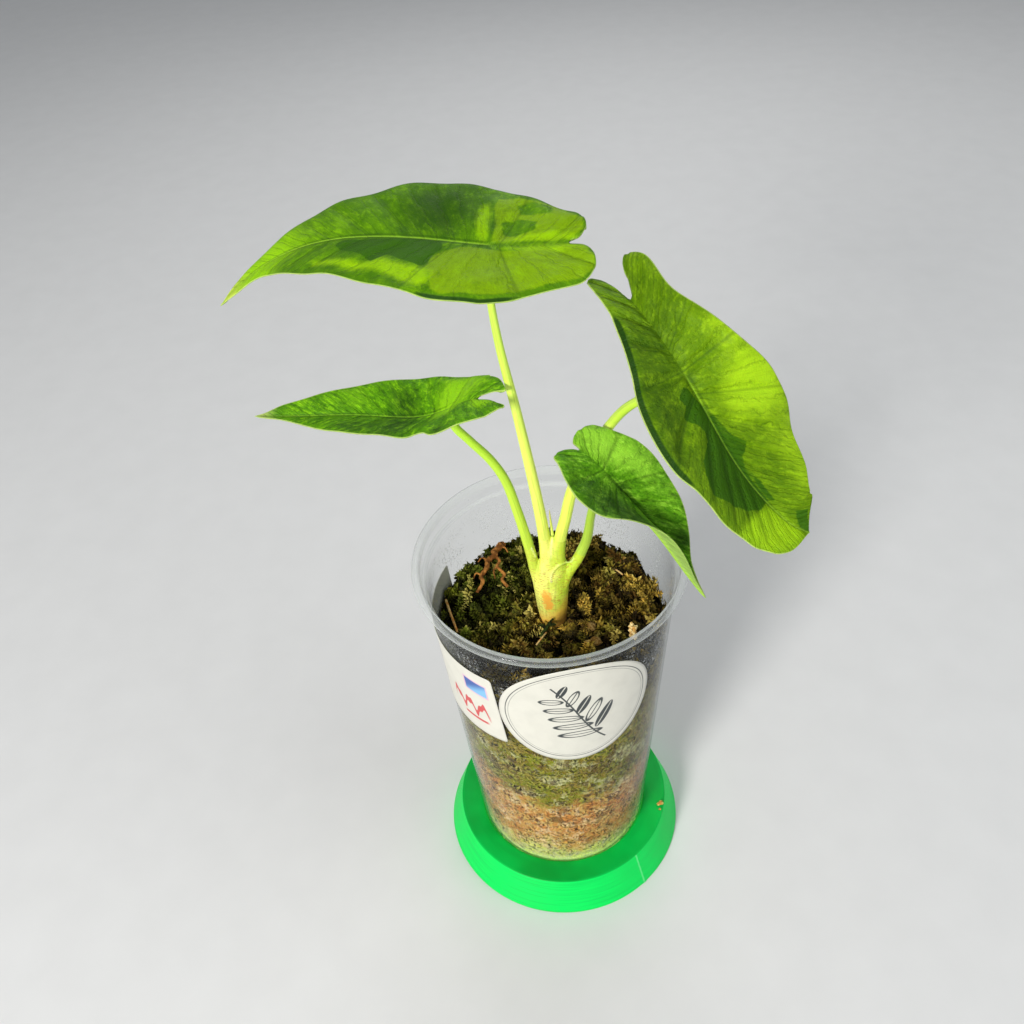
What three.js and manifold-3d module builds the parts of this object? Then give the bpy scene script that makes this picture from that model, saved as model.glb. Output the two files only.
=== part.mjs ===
// A young variegated lava alocasia that grows in moss, in a clear drinks cup on a round printed stand.
// Millimetres, +Z up. The origin is the centre of the stand's underside, and -Y is the side that faces out.
import * as THREE from "three";
import { mergeVertices } from "three/addons/utils/BufferGeometryUtils.js";
import Module from "manifold-3d";

const wasm = await Module();
wasm.setup();

// Driving sizes

const FIT = 0.3; // gap between pieces that touch
const ROUND_SIDES = 60; // facets round the cup, the stand and the labels

const STAND = {
  height: 16,
  footRadius: 49.4,
  topRadius: 44.1,
  recessRadius: 35.6,
  recessDepth: 8,
  edge: 0.5,
};

const CUP = {
  wall: 0.8,
  floorRadius: 34.2,
  slope: 0.0645, // how far the wall leans out for each millimetre up
  footRing: 3,
  floorLift: 2,
  stepHeight: 153.5, // the stacking step under the rim
  stepOut: 0.8,
  rimRadius: 47.5,
  rimTop: 160.7,
  beadHeight: 3,
  beadWidth: 2.8,
};

const MOSS = {
  top: 128.5,
  lumps: 2.6,
  wallLift: 2.2, // how much higher it lies against the wall than in the middle
  backLift: 2.4,
  rings: 13,
  sectors: 56,
  sideRings: 7,
  sideDents: 1.3,
};

const CROWN = {
  foot: 115, // how far down in the moss it starts
  sides: 14,
  // height, middle in X and in Y, half width in X and in Y
  body: [
    [115, 0.2, 0, 4.3, 4.2],
    [126.5, 0.3, 0, 4.6, 4.4],
    [132, 0.15, 0, 5.1, 4.8],
    [137, 0.1, 0, 5.6, 5.0],
    [142.5, 0.1, 0, 6.0, 5.0],
    [147.6, 0.15, 0, 6.4, 4.7],
    [153, 0.5, -0.3, 6.2, 3.9],
    [158, 1.0, -0.3, 4.6, 3.0],
    [163, 1.2, -0.4, 2.7, 2.1],
    [166.5, 1.3, -0.3, 1.2, 1.2],
    [168.8, 1.5, 0.1, 0.4, 0.4],
  ],
};

const SHEATH_CUT = 3.2; // how far a petiole's own length starts above the crown's fork

// Each petiole's middle line from inside the crown to the blade, and its radius low down and at the blade.
const PETIOLES = [
  {
    name: "petiole_1",
    line: [[-1.4, 0, 146], [-1.2, 0.1, 166], [-2.8, 0.4, 185], [-6.9, 1.2, 218], [-11, 2, 246.5], [-12.2, 2.5, 262]],
    low: 2.3,
    high: 1.15,
    cut: 166,
  },
  {
    name: "petiole_2",
    line: [
      [3, -0.6, 146],
      [3.7, -1, 166.5],
      [6.1, -0.3, 177.6],
      [8.4, 0.1, 188.4],
      [12, -0.3, 198.8],
      [17.8, -2.9, 212.5],
      [24, -9.2, 227.1],
      [31.2, -20.4, 241],
    ],
    low: 2.3,
    high: 1.3,
    cut: 166,
  },
  {
    name: "petiole_3",
    line: [
      [-3.9, -0.3, 145],
      [-5.2, 0, 153.3],
      [-6.5, 0.1, 163.5],
      [-9.7, 0.8, 181],
      [-12.7, 1.6, 193.7],
      [-16.7, 2.1, 202],
      [-22.7, 2.7, 210],
      [-26.8, 3.3, 215.6],
    ],
    low: 2.0,
    high: 1.4,
    cut: 162,
  },
  {
    name: "petiole_4",
    line: [[3.6, -1.4, 145], [6.2, -1.2, 152.3], [9.5, -0.7, 158], [11.6, -0.8, 163.5], [12.9, -2.4, 169.5], [14.3, -8.4, 187], [16.4, -15.4, 203]],
    low: 2.1,
    high: 1.1,
    cut: 158.5,
  },
];

const SPEAR = {
  line: [[1.5, 0.3, 169.2], [1.2, 1, 174], [0.9, 0.8, 180.4]],
  radius: 0.5,
};

const BLADE_THICKNESS = 0.7;
const BLADE_ROWS = { lobe: 6, sinus: 3, ahead: 18 };
const BLADE_COLUMNS = 6;
const RIPPLE = { height: 0.45, length: 19 };

// Where along the midrib a blade's angles and half widths are given: -1 is the lobes' end, 0 the
// petiole and 1 the tip.
const ANGLE_STATIONS = [-1, 0, 1 / 3, 2 / 3, 1];
const WIDTH_STATIONS = [-1, -0.8, -0.5, -0.2, 0, 0.2, 0.4, 0.6, 0.75, 0.87, 0.95, 1];

// Each blade: the point where the petiole joins, the midrib's length ahead of it and behind it, the
// sinus's depth from it, and the midrib's heading, pitch and roll in degrees. Each half has its lobe's
// length, the slit between the lobes, the share of the lobe that is rounded, half widths, and the
// angles that it rises at the midrib (fold) and at the margin (rim).
const BLADES = [
  {
    name: "blade_1",
    joint: [-11.8, 3, 276],
    ahead: 94.5,
    behind: 28.3,
    sinus: 22,
    heading: [179, 171, 164, 160, 174],
    pitch: [-15, 5, -5, -28, -45],
    roll: [17, 14, 15, 17, 22],
    port: {
      lobe: 28.3,
      slit: 2,
      round: 0.18,
      width: [13, 15, 17.3, 19.8, 21.8, 21, 16.2, 11, 5.2, 3.2, 1.4],
      fold: [2, 6, 9, 9, 8],
      rim: [-8, -3, 3, 2, 0],
    },
    starboard: {
      lobe: 27.5,
      slit: 1,
      round: 0.12,
      width: [9, 12.5, 17.5, 20.4, 21.6, 21, 16, 11.5, 6.2, 2.7, 1],
      fold: [4, 6, 9, 9, 9],
      rim: [-5, -2, 2, 1, 0],
    },
  },
  {
    name: "blade_2",
    joint: [37.6, -32.1, 253.8],
    ahead: 53.3,
    behind: 40,
    sinus: 26,
    heading: [-72, -48, -40, -37, -39],
    pitch: [7, -45, -53, -40, -17],
    roll: [-15, -15, -8, -7, -17],
    hook: { from: 46, over: 9, heading: 30, pitch: 10 },
    port: {
      lobe: 40,
      slit: 4.5,
      round: 0.16,
      width: [9.3, 10.7, 10.1, 14.8, 17.3, 21.2, 21.3, 18.9, 15.3, 10.6, 9.3],
      fold: [21, 19, 17, 15, 18],
      rim: [25, 22, 17, 12, 12],
      blunt: 2.5,
    },
    starboard: {
      lobe: 38.8,
      slit: 0.6,
      round: 0.36,
      width: [9.8, 7.7, 8.6, 13.1, 17.2, 21, 20.1, 18.7, 15.8, 14, 11.3],
      fold: [17, 16, 16, 14, 11],
      rim: [23, 19, 18, 14, 11],
      blunt: 11,
    },
  },
  {
    name: "blade_3",
    joint: [-28.3, 4, 221.8],
    ahead: 67.7,
    behind: 25,
    sinus: 13.5,
    heading: [152, 150, 163, 176, 180],
    pitch: [-11, -36, -5, -1, 7],
    roll: [7, 8, 10, 14, 18],
    port: {
      lobe: 25,
      slit: 0.8,
      round: 0.45,
      width: [6, 10, 12.6, 15.5, 13.8, 12.6, 11.7, 9.8, 5.4, 2, 1],
      fold: [2, 11, 19, 20, 20],
      rim: [-5, 8, 21, 22, 22],
    },
    starboard: {
      lobe: 22.5,
      slit: 0.6,
      round: 0.7,
      width: [5.4, 9.2, 10, 11.8, 13.2, 14.8, 12.4, 9.2, 6.5, 4, 1.2],
      fold: [12, 16, 21, 21, 21],
      rim: [-6, 4, 14, 16, 16],
    },
  },
  {
    name: "blade_4",
    joint: [18.2, -21.3, 213.7],
    ahead: 45.8,
    behind: 15.6,
    sinus: 10.7,
    heading: [-43, -35, -43, -53, -50],
    pitch: [-2, -38, -33, -34, -29],
    roll: [-5, -5, 12, 28, 13],
    port: {
      lobe: 15.5,
      slit: 0.5,
      round: 0.16,
      width: [9.1, 10.4, 12.1, 13.6, 14.5, 15.3, 12.5, 7.9, 3.3, 1.4, 0.6],
      fold: [8, 14, 25, 42, 62],
      rim: [-4, 8, 23, 41, 60],
    },
    starboard: {
      lobe: 14.9,
      slit: 0.8,
      round: 0.3,
      width: [10.1, 9.3, 12.1, 14.2, 15.1, 17.1, 11.4, 7.8, 5.6, 2.2, 0.8],
      fold: [-4, 8, 26, 47, 66],
      rim: [12, 12, 32, 54, 70],
    },
  },
];

const LABEL_THICKNESS = 0.4;
const ROUND_LABEL = { diameter: 55.4, turn: 9.6, middle: 124.6, rings: 5, sides: 30 };
const PRICE_LABEL = { width: 64.6, height: 37, turn: -73.3, middle: 120.3, tilt: 1.85, columns: 24, rows: 3 };

const TWIG = {
  line: [[-18.2, 33.5, 3.4], [-19.5, 29.5, 4.2], [-22.4, 25, 3.6], [-24.6, 18.5, 2.6], [-27.4, 11.2, 1.2]],
  branch: [[-21.4, 26.4, 3.8], [-19.4, 20.5, 3], [-16.6, 13.2, 1.6]],
  thick: 1.25,
  thin: 0.55,
  sides: 7,
};

// Loose crumbs: name, place, half sizes, and turn about Z in degrees. The height is that of the middle.
const CRUMBS = [
  { name: "pale_crumb_at_stem", at: [13.4, -5], above: 0.6, half: [2.6, 2.1, 1.6], turn: 20 },
  { name: "bark_chip", at: [13.6, -15], above: 0.7, half: [3.4, 2, 1.6], turn: 12 },
];
const WALL_CRUMB = { turn: 38.5, height: 155.6, half: [2, 1.6, 4.7] };
const STRAW = { line: [[-39, 9.2, 1.8], [-37, 2, 2.2], [-34.4, -6.4, 1.4]], radius: 0.45 };
const STAND_CRUMBS = [
  { name: "stand_crumb_1", at: [41.2, -10.7], half: [1.7, 1.1, 0.8], turn: 25 },
  { name: "stand_crumb_2", at: [40.7, -13.4], half: [0.6, 0.5, 0.45], turn: 0 },
];

// Helpers

const radians = THREE.MathUtils.degToRad;

/** The smooth curve through values given at rising stations, read at one place. */
function smooth(stations, values, at) {
  const last = stations.length - 1;
  const x = Math.min(Math.max(at, stations[0]), stations[last]);
  let i = 0;
  while (i < last - 1 && x >= stations[i + 1]) i += 1;
  const slope = (k) => {
    const a = Math.max(k - 1, 0);
    const b = Math.min(k + 1, last);
    return (values[b] - values[a]) / (stations[b] - stations[a]);
  };
  const h = stations[i + 1] - stations[i];
  const t = (x - stations[i]) / h;
  const t2 = t * t;
  const t3 = t2 * t;
  const start = (2 * t3 - 3 * t2 + 1) * values[i] + (t3 - 2 * t2 + t) * h * slope(i);
  return start + (-2 * t3 + 3 * t2) * values[i + 1] + (t3 - t2) * h * slope(i + 1);
}

/** A closed surface from points and triangles: shared points merged, flat triangles dropped, faces out. */
function closed(points, triangles) {
  const geometry = new THREE.BufferGeometry();
  const flat = new Float32Array(points.flatMap((p) => [p.x, p.y, p.z]));
  geometry.setAttribute("position", new THREE.BufferAttribute(flat, 3));
  geometry.setIndex(triangles.flat());
  const merged = mergeVertices(geometry, 1e-3);
  const index = merged.index.array;
  const kept = [];
  for (let i = 0; i < index.length; i += 3) {
    const [a, b, c] = [index[i], index[i + 1], index[i + 2]];
    if (a !== b && b !== c && c !== a) kept.push(a, b, c);
  }
  const at = (k) => new THREE.Vector3().fromBufferAttribute(merged.attributes.position, k);
  let volume = 0;
  for (let i = 0; i < kept.length; i += 3) {
    volume += at(kept[i]).dot(at(kept[i + 1]).cross(at(kept[i + 2])));
  }
  if (volume < 0) kept.reverse();
  merged.setIndex(kept);
  return merged;
}

/** A closed profile of [radius, height] pairs turned about the Z axis. */
function turned(profile, segments = ROUND_SIDES) {
  const outline = profile.map(([r, z]) => new THREE.Vector2(r, z));
  const geometry = new THREE.LatheGeometry(outline, segments);
  geometry.rotateX(Math.PI / 2);
  geometry.deleteAttribute("normal");
  geometry.deleteAttribute("uv");
  const position = geometry.attributes.position;
  const points = [];
  for (let i = 0; i < position.count; i += 1) points.push(new THREE.Vector3().fromBufferAttribute(position, i));
  const index = geometry.index.array;
  const triangles = [];
  for (let i = 0; i < index.length; i += 3) triangles.push([index[i], index[i + 1], index[i + 2]]);
  return closed(points, triangles);
}

/** Triangles between rings of the same number of points, with a fan on the first and the last ring. */
function skin(rings) {
  const n = rings[0].length;
  const points = rings.flat();
  const triangles = [];
  for (let r = 0; r < rings.length - 1; r += 1) {
    for (let k = 0; k < n; k += 1) {
      const a = r * n + k;
      const b = r * n + ((k + 1) % n);
      triangles.push([a, b, b + n], [a, b + n, a + n]);
    }
  }
  for (const [first, turn] of [[0, 1], [(rings.length - 1) * n, -1]]) {
    const middle = new THREE.Vector3();
    for (let k = 0; k < n; k += 1) middle.addScaledVector(points[first + k], 1 / n);
    points.push(middle);
    for (let k = 0; k < n; k += 1) {
      const a = first + k;
      const b = first + ((k + 1) % n);
      triangles.push(turn > 0 ? [points.length - 1, b, a] : [points.length - 1, a, b]);
    }
  }
  return closed(points, triangles);
}

/** Rings round a curve between two shares of its length. radiusAt is given the share. */
function ringsAlong(curve, radiusAt, sides, steps, from = 0, to = 1) {
  const rings = [];
  let across = null;
  for (let j = 0; j <= steps; j += 1) {
    const u = from + ((to - from) * j) / steps;
    const middle = curve.getPointAt(u);
    const along = curve.getTangentAt(u);
    const guess = across ?? new THREE.Vector3(1, 0, 0);
    across = guess.clone().addScaledVector(along, -guess.dot(along)).normalize();
    const other = along.clone().cross(across);
    const ring = [];
    for (let k = 0; k < sides; k += 1) {
      const a = (2 * Math.PI * k) / sides;
      const r = radiusAt(u);
      ring.push(middle.clone().addScaledVector(across, r * Math.cos(a)).addScaledVector(other, r * Math.sin(a)));
    }
    rings.push(ring);
  }
  return rings;
}

function curveThrough(line) {
  const curve = new THREE.CatmullRomCurve3(line.map((p) => new THREE.Vector3(...p)), false, "centripetal");
  curve.arcLengthDivisions = 400;
  return curve;
}

function solidOf(geometry) {
  const mesh = new wasm.Mesh({
    numProp: 3,
    vertProperties: new Float32Array(geometry.attributes.position.array),
    triVerts: new Uint32Array(geometry.index.array),
  });
  return new wasm.Manifold(mesh);
}

function geometryOf(solid) {
  const mesh = solid.getMesh();
  const geometry = new THREE.BufferGeometry();
  geometry.setAttribute("position", new THREE.BufferAttribute(new Float32Array(mesh.vertProperties), 3));
  geometry.setIndex(new THREE.BufferAttribute(new Uint32Array(mesh.triVerts), 1));
  return geometry;
}

// The cup

const cupFoot = STAND.height - STAND.recessDepth + FIT;

/** The outside radius of the cup's wall at a height, below the stacking step. */
function wallRadius(z) {
  return CUP.floorRadius + CUP.slope * (z - cupFoot);
}

function standShape() {
  const { height, footRadius, topRadius, recessRadius, recessDepth, edge } = STAND;
  return turned([
    [0, 0],
    [footRadius - edge, 0],
    [footRadius, edge],
    [topRadius, height - edge],
    [topRadius - edge, height],
    [recessRadius, height],
    [recessRadius, height - recessDepth],
    [0, height - recessDepth],
  ]);
}

/** The cup's profile, up the outside, over the rolled bead and down the inside. */
function cupShape() {
  const { wall, footRing, floorLift, stepHeight, stepOut, rimRadius, rimTop, beadHeight, beadWidth } = CUP;
  const step = wallRadius(stepHeight);
  const beadMiddle = rimTop - beadHeight / 2;
  const collar = rimRadius - beadWidth + wall;
  const bead = [];
  for (let k = 0; k <= 8; k += 1) {
    const a = -Math.PI / 2 + (Math.PI * 1.25 * k) / 8;
    const x = rimRadius - beadWidth / 2 + (beadWidth / 2) * Math.cos(a);
    bead.push([x, beadMiddle + (beadHeight / 2) * Math.sin(a)]);
  }
  const foot = wallRadius(cupFoot);
  const floor = cupFoot + floorLift;
  return turned([
    [0, floor],
    [foot - footRing - 1, floor],
    [foot - footRing, cupFoot],
    [foot - 0.6, cupFoot],
    [wallRadius(cupFoot + 0.8), cupFoot + 0.8],
    [step, stepHeight],
    [step + stepOut, stepHeight + 0.9],
    [collar, beadMiddle - beadHeight / 2],
    ...bead,
    [collar - wall, beadMiddle - beadHeight / 2],
    [step + stepOut - wall, stepHeight + 1.1],
    [step - wall, stepHeight + 0.2],
    [wallRadius(floor + 3) - wall, floor + 3],
    [foot - footRing - 1, floor + wall],
    [0, floor + wall],
  ]);
}

// The moss

/** Soft lumps over the plane, about -1 to 1. */
function lumps(x, y) {
  const a = Math.sin(x * 0.31 + 1.3 * Math.sin(y * 0.17)) * Math.cos(y * 0.27 + 0.8);
  const b = Math.sin(x * 0.13 - y * 0.21 + 2.1) * 0.7;
  const c = Math.cos(x * 0.52 + y * 0.44) * Math.sin(y * 0.61 - x * 0.2) * 0.45;
  return (a + b + c) / 1.6;
}

/** The height of the moss over a place inside the cup. */
function mossHeight(x, y) {
  const r = Math.hypot(x, y);
  const share = Math.min(r / wallRadius(MOSS.top), 1);
  const calm = THREE.MathUtils.smoothstep(r, 4, 13);
  const rise = MOSS.wallLift * share ** 3 + (MOSS.backLift * y * share) / wallRadius(MOSS.top);
  return MOSS.top - 1 + rise + MOSS.lumps * lumps(x, y) * calm;
}

/** How far the moss's side stands off the wall: pressed against it in places, hollow in others. */
function sideGap(turn, z) {
  const a = Math.sin(3 * turn + z * 0.09) * Math.cos(z * 0.13 - 2 * turn);
  return FIT + (MOSS.sideDents * (a + 1)) / 2;
}

function mossShape() {
  const { rings, sectors, sideRings } = MOSS;
  const hole = CROWN.body[1][3] + FIT + 0.2;
  const floor = cupFoot + CUP.floorLift + CUP.wall + FIT;
  const around = [];
  const ring = (radiusAt, heightAt) => {
    const list = [];
    for (let k = 0; k < sectors; k += 1) {
      const a = (2 * Math.PI * k) / sectors;
      const r = radiusAt(a);
      list.push(new THREE.Vector3(r * Math.cos(a), r * Math.sin(a), heightAt(r * Math.cos(a), r * Math.sin(a))));
    }
    around.push(list);
  };
  const edge = (a, z) => wallRadius(z) - CUP.wall - sideGap(a, z);
  const topEdge = (a) => edge(a, MOSS.top);
  ring(() => hole * 0.5, () => CROWN.foot - FIT);
  ring(() => hole, () => CROWN.foot - FIT);
  for (let j = 0; j <= rings; j += 1) {
    const share = (j / rings) ** 0.9;
    ring((a) => hole + (topEdge(a) - hole) * share, mossHeight);
  }
  for (let j = 1; j <= sideRings; j += 1) {
    const down = j / sideRings;
    const list = around[rings + 2].map((top, k) => {
      const a = (2 * Math.PI * k) / sectors;
      const z = top.z + (floor - top.z) * down;
      const inward = j === sideRings ? 4.4 : 0;
      const r = Math.min(edge(a, z), wallRadius(Math.max(z, floor)) - CUP.wall - FIT) - inward;
      return new THREE.Vector3(r * Math.cos(a), r * Math.sin(a), z);
    });
    around.push(list);
  }
  return skin(around);
}

// The plant

/** The midrib of a blade: places along it with the directions ahead, up and to port. */
function midrib(leaf) {
  const stations = ANGLE_STATIONS.map((u) => u * (u < 0 ? leaf.behind : leaf.ahead));
  const frameAt = (s) => {
    let heading = radians(smooth(stations, leaf.heading, s));
    let pitch = radians(smooth(stations, leaf.pitch, s));
    const roll = radians(smooth(stations, leaf.roll, s));
    if (leaf.hook) {
      const bend = THREE.MathUtils.clamp((s - leaf.hook.from) / leaf.hook.over, 0, 1);
      heading += radians(leaf.hook.heading) * bend;
      pitch += radians(leaf.hook.pitch) * bend;
    }
    const ahead = new THREE.Vector3(
      Math.cos(pitch) * Math.cos(heading),
      Math.cos(pitch) * Math.sin(heading),
      Math.sin(pitch),
    );
    const up = new THREE.Vector3(
      -Math.sin(pitch) * Math.cos(heading),
      -Math.sin(pitch) * Math.sin(heading),
      Math.cos(pitch),
    );
    const port = up.clone().cross(ahead);
    return {
      ahead,
      up: up.clone().multiplyScalar(Math.cos(roll)).addScaledVector(port, Math.sin(roll)),
      port: port.clone().multiplyScalar(Math.cos(roll)).addScaledVector(up, -Math.sin(roll)),
    };
  };
  const step = 0.5;
  const walk = (end) => {
    const list = [{ s: 0, at: new THREE.Vector3(...leaf.joint) }];
    const count = Math.ceil(Math.abs(end) / step);
    for (let j = 1; j <= count; j += 1) {
      const before = list[j - 1];
      const s = (end * j) / count;
      const { ahead } = frameAt((s + before.s) / 2);
      list.push({ s, at: before.at.clone().addScaledVector(ahead, s - before.s) });
    }
    return list;
  };
  const places = [...walk(-leaf.behind).reverse(), ...walk(leaf.ahead).slice(1)];
  const pointAt = (s) => {
    let i = 0;
    while (i < places.length - 2 && s > places[i + 1].s) i += 1;
    const t = (s - places[i].s) / (places[i + 1].s - places[i].s);
    return places[i].at.clone().lerp(places[i + 1].at, t);
  };
  return { stations, frameAt, pointAt };
}

/** The half width of one half of a blade before its ends are rounded. */
function halfWidth(leaf, half, s) {
  const stations = WIDTH_STATIONS.map((u) => u * (u < 0 ? half.lobe : leaf.ahead));
  return Math.max(smooth(stations, [...half.width, 0], s), 0);
}

/** The inner and outer margins of one half at a place along the midrib's line. */
function margins(leaf, half, s) {
  const outer = halfWidth(leaf, half, s);
  if (s >= -leaf.sinus) {
    const left = half.blunt && s > 0 ? THREE.MathUtils.clamp((leaf.ahead - s) / half.blunt, 0, 1) : 1;
    return [0, outer * Math.sqrt(Math.max(1 - (1 - left) ** 2, 0))];
  }
  const inLobe = (-s - leaf.sinus) / (half.lobe - leaf.sinus);
  const inner = Math.min(half.slit * inLobe ** 0.6, outer);
  const share = THREE.MathUtils.clamp((s + half.lobe) / (half.round * half.lobe), 0, 1);
  const cap = Math.sqrt(Math.max(1 - (1 - share) ** 2, 0));
  const middle = (inner + outer) / 2;
  const reach = ((outer - inner) / 2) * cap;
  return [middle - reach, middle + reach];
}

/** A point of a blade's middle surface, w from the midrib, where the half is full wide. */
function bladePoint(leaf, rib, half, side, s, w) {
  const full = Math.max(halfWidth(leaf, half, s), 0.2);
  const fold = radians(smooth(rib.stations, half.fold, s));
  const rim = radians(smooth(rib.stations, half.rim, s));
  const bend = Math.abs(rim - fold) < 1e-4 ? 1e-4 : rim - fold;
  const t = w / full;
  const out = ((Math.sin(fold + bend * t) - Math.sin(fold)) / bend) * full;
  const ripple = RIPPLE.height * t ** 3 * Math.sin((2 * Math.PI * s) / RIPPLE.length + side) * Math.min(full / 15, 1);
  const rise = ((Math.cos(fold) - Math.cos(fold + bend * t)) / bend) * full + ripple;
  const { up, port } = rib.frameAt(s);
  return rib.pointAt(s).addScaledVector(port, side * out).addScaledVector(up, rise);
}

/** Places along the midrib's line for the rows of one half, closer together at the ends. */
function rowPlaces(leaf, half) {
  const { lobe, sinus, ahead } = BLADE_ROWS;
  const places = [];
  for (let j = 0; j < lobe; j += 1) {
    const a = (Math.PI / 2) * (j / lobe);
    places.push(-half.lobe + (half.lobe - leaf.sinus) * (1 - Math.cos(a)));
  }
  for (let j = 0; j < sinus; j += 1) places.push(-leaf.sinus * (1 - j / sinus));
  for (let j = 0; j <= ahead; j += 1) places.push(leaf.ahead * (1 - (1 - j / ahead) ** 1.4));
  return places;
}

/** Both faces of a sheet, set off along its own normals and closed round its edge. */
function thickened(points, triangles, thickness) {
  const sheet = new THREE.BufferGeometry();
  const flat = new Float32Array(points.flatMap((p) => [p.x, p.y, p.z]));
  sheet.setAttribute("position", new THREE.BufferAttribute(flat, 3));
  sheet.setIndex(triangles.flat());
  const merged = mergeVertices(sheet, 1e-3);
  const index = merged.index.array;
  const kept = [];
  for (let i = 0; i < index.length; i += 3) {
    const face = [index[i], index[i + 1], index[i + 2]];
    if (new Set(face).size === 3) kept.push(face);
  }
  merged.setIndex(kept.flat());
  merged.computeVertexNormals();
  const { position, normal } = merged.attributes;
  const n = position.count;
  const both = [];
  for (const sign of [1, -1]) {
    for (let k = 0; k < n; k += 1) {
      const p = new THREE.Vector3().fromBufferAttribute(position, k);
      both.push(p.addScaledVector(new THREE.Vector3().fromBufferAttribute(normal, k), (sign * thickness) / 2));
    }
  }
  const faces = kept.flatMap(([a, b, c]) => [[a, b, c], [a + n, c + n, b + n]]);
  const edges = new Set(kept.flatMap(([a, b, c]) => [`${a} ${b}`, `${b} ${c}`, `${c} ${a}`]));
  for (const edge of edges) {
    const [a, b] = edge.split(" ").map(Number);
    if (!edges.has(`${b} ${a}`)) faces.push([b, a, a + n], [b, a + n, b + n]);
  }
  return closed(both, faces);
}

function bladeShape(leaf) {
  const rib = midrib(leaf);
  const points = [];
  const triangles = [];
  for (const [half, side] of [[leaf.port, 1], [leaf.starboard, -1]]) {
    const places = rowPlaces(leaf, half);
    const first = points.length;
    for (const s of places) {
      const [inner, outer] = margins(leaf, half, s);
      for (let c = 0; c <= BLADE_COLUMNS; c += 1) {
        const share = Math.sin((Math.PI / 2) * (c / BLADE_COLUMNS));
        points.push(bladePoint(leaf, rib, half, side, s, inner + (outer - inner) * share));
      }
    }
    const wide = BLADE_COLUMNS + 1;
    for (let r = 0; r < places.length - 1; r += 1) {
      for (let c = 0; c < BLADE_COLUMNS; c += 1) {
        const a = first + r * wide + c;
        const quad = [[a, a + wide, a + wide + 1], [a, a + wide + 1, a + 1]];
        triangles.push(...quad.map((t) => (side > 0 ? t : [t[0], t[2], t[1]])));
      }
    }
  }
  return thickened(points, triangles, BLADE_THICKNESS);
}

/** The whole line of a petiole, from inside the crown to its blade, and the share where it leaves the crown. */
function petioleLine(stem, leaf) {
  const rib = midrib(leaf);
  const { up } = rib.frameAt(0);
  const end = new THREE.Vector3(...leaf.joint).addScaledVector(up, -(BLADE_THICKNESS / 2 + FIT));
  const curve = curveThrough([...stem.line, end.toArray()]);
  let cut = 0;
  while (curve.getPointAt(cut).z < stem.cut + SHEATH_CUT) cut += 0.001;
  return { curve, cut, end, up };
}

const petioleRadius = (stem) => (u) => stem.low + (stem.high - stem.low) * Math.min(u * 1.15, 1);

function petioleShape(stem, leaf) {
  const { curve, cut, end, up } = petioleLine(stem, leaf);
  const start = cut + FIT / curve.getLength();
  const rings = ringsAlong(curve, petioleRadius(stem), 10, 20, start, 1);
  const along = curve.getTangentAt(1);
  const last = rings[rings.length - 1];
  for (const point of last) {
    const rest = end.clone().sub(point).dot(up) / along.dot(up);
    point.addScaledVector(along, rest);
  }
  return skin(rings);
}

/** The crown: the stout stem foot with the wrapping bases of the four petioles, grown as one. */
function crownShape() {
  const body = CROWN.body.map(([z, x, y, wide, deep]) => {
    const ring = [];
    for (let k = 0; k < CROWN.sides; k += 1) {
      const a = (2 * Math.PI * k) / CROWN.sides;
      ring.push(new THREE.Vector3(x + wide * Math.cos(a), y + deep * Math.sin(a), z));
    }
    return ring;
  });
  let crown = solidOf(skin(body));
  PETIOLES.forEach((stem, k) => {
    const { curve, cut } = petioleLine(stem, BLADES[k]);
    const base = skin(ringsAlong(curve, petioleRadius(stem), 10, 6, 0, cut));
    crown = crown.add(solidOf(base));
  });
  return geometryOf(crown);
}

function spearShape() {
  const curve = curveThrough(SPEAR.line);
  return skin(ringsAlong(curve, (u) => SPEAR.radius * (1 - u) ** 0.8 + 0.06, 6, 6));
}

// The labels

/** A thin sheet on the cup's outside. Its points are given flat, across and up from its middle. */
function labelShape(flatPoints, triangles, turn, middle) {
  const lean = Math.atan(CUP.slope);
  const reach = wallRadius(middle) / Math.sin(lean); // from the middle to the point where the wall's cone would end
  const points = flatPoints.map(([x, y]) => {
    const round = radians(turn) + Math.atan2(x, reach + y) / Math.sin(lean);
    const z = middle + (Math.hypot(x, reach + y) - reach) * Math.cos(lean);
    const r = (wallRadius(z) + FIT + LABEL_THICKNESS / 2) / Math.cos(Math.PI / ROUND_SIDES);
    return new THREE.Vector3(r * Math.sin(round), -r * Math.cos(round), z);
  });
  return thickened(points, triangles, LABEL_THICKNESS);
}

function roundLabelShape() {
  const { diameter, turn, middle, rings, sides } = ROUND_LABEL;
  const points = [[0, 0]];
  const triangles = [];
  for (let j = 1; j <= rings; j += 1) {
    for (let k = 0; k < sides; k += 1) {
      const a = (2 * Math.PI * k) / sides;
      const r = ((diameter / 2) * j) / rings;
      points.push([r * Math.cos(a), r * Math.sin(a)]);
      const here = 1 + (j - 1) * sides + k;
      const next = 1 + (j - 1) * sides + ((k + 1) % sides);
      if (j === 1) triangles.push([0, here, next]);
      else triangles.push([here - sides, here, next], [here - sides, next, next - sides]);
    }
  }
  return labelShape(points, triangles, turn, middle);
}

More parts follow.
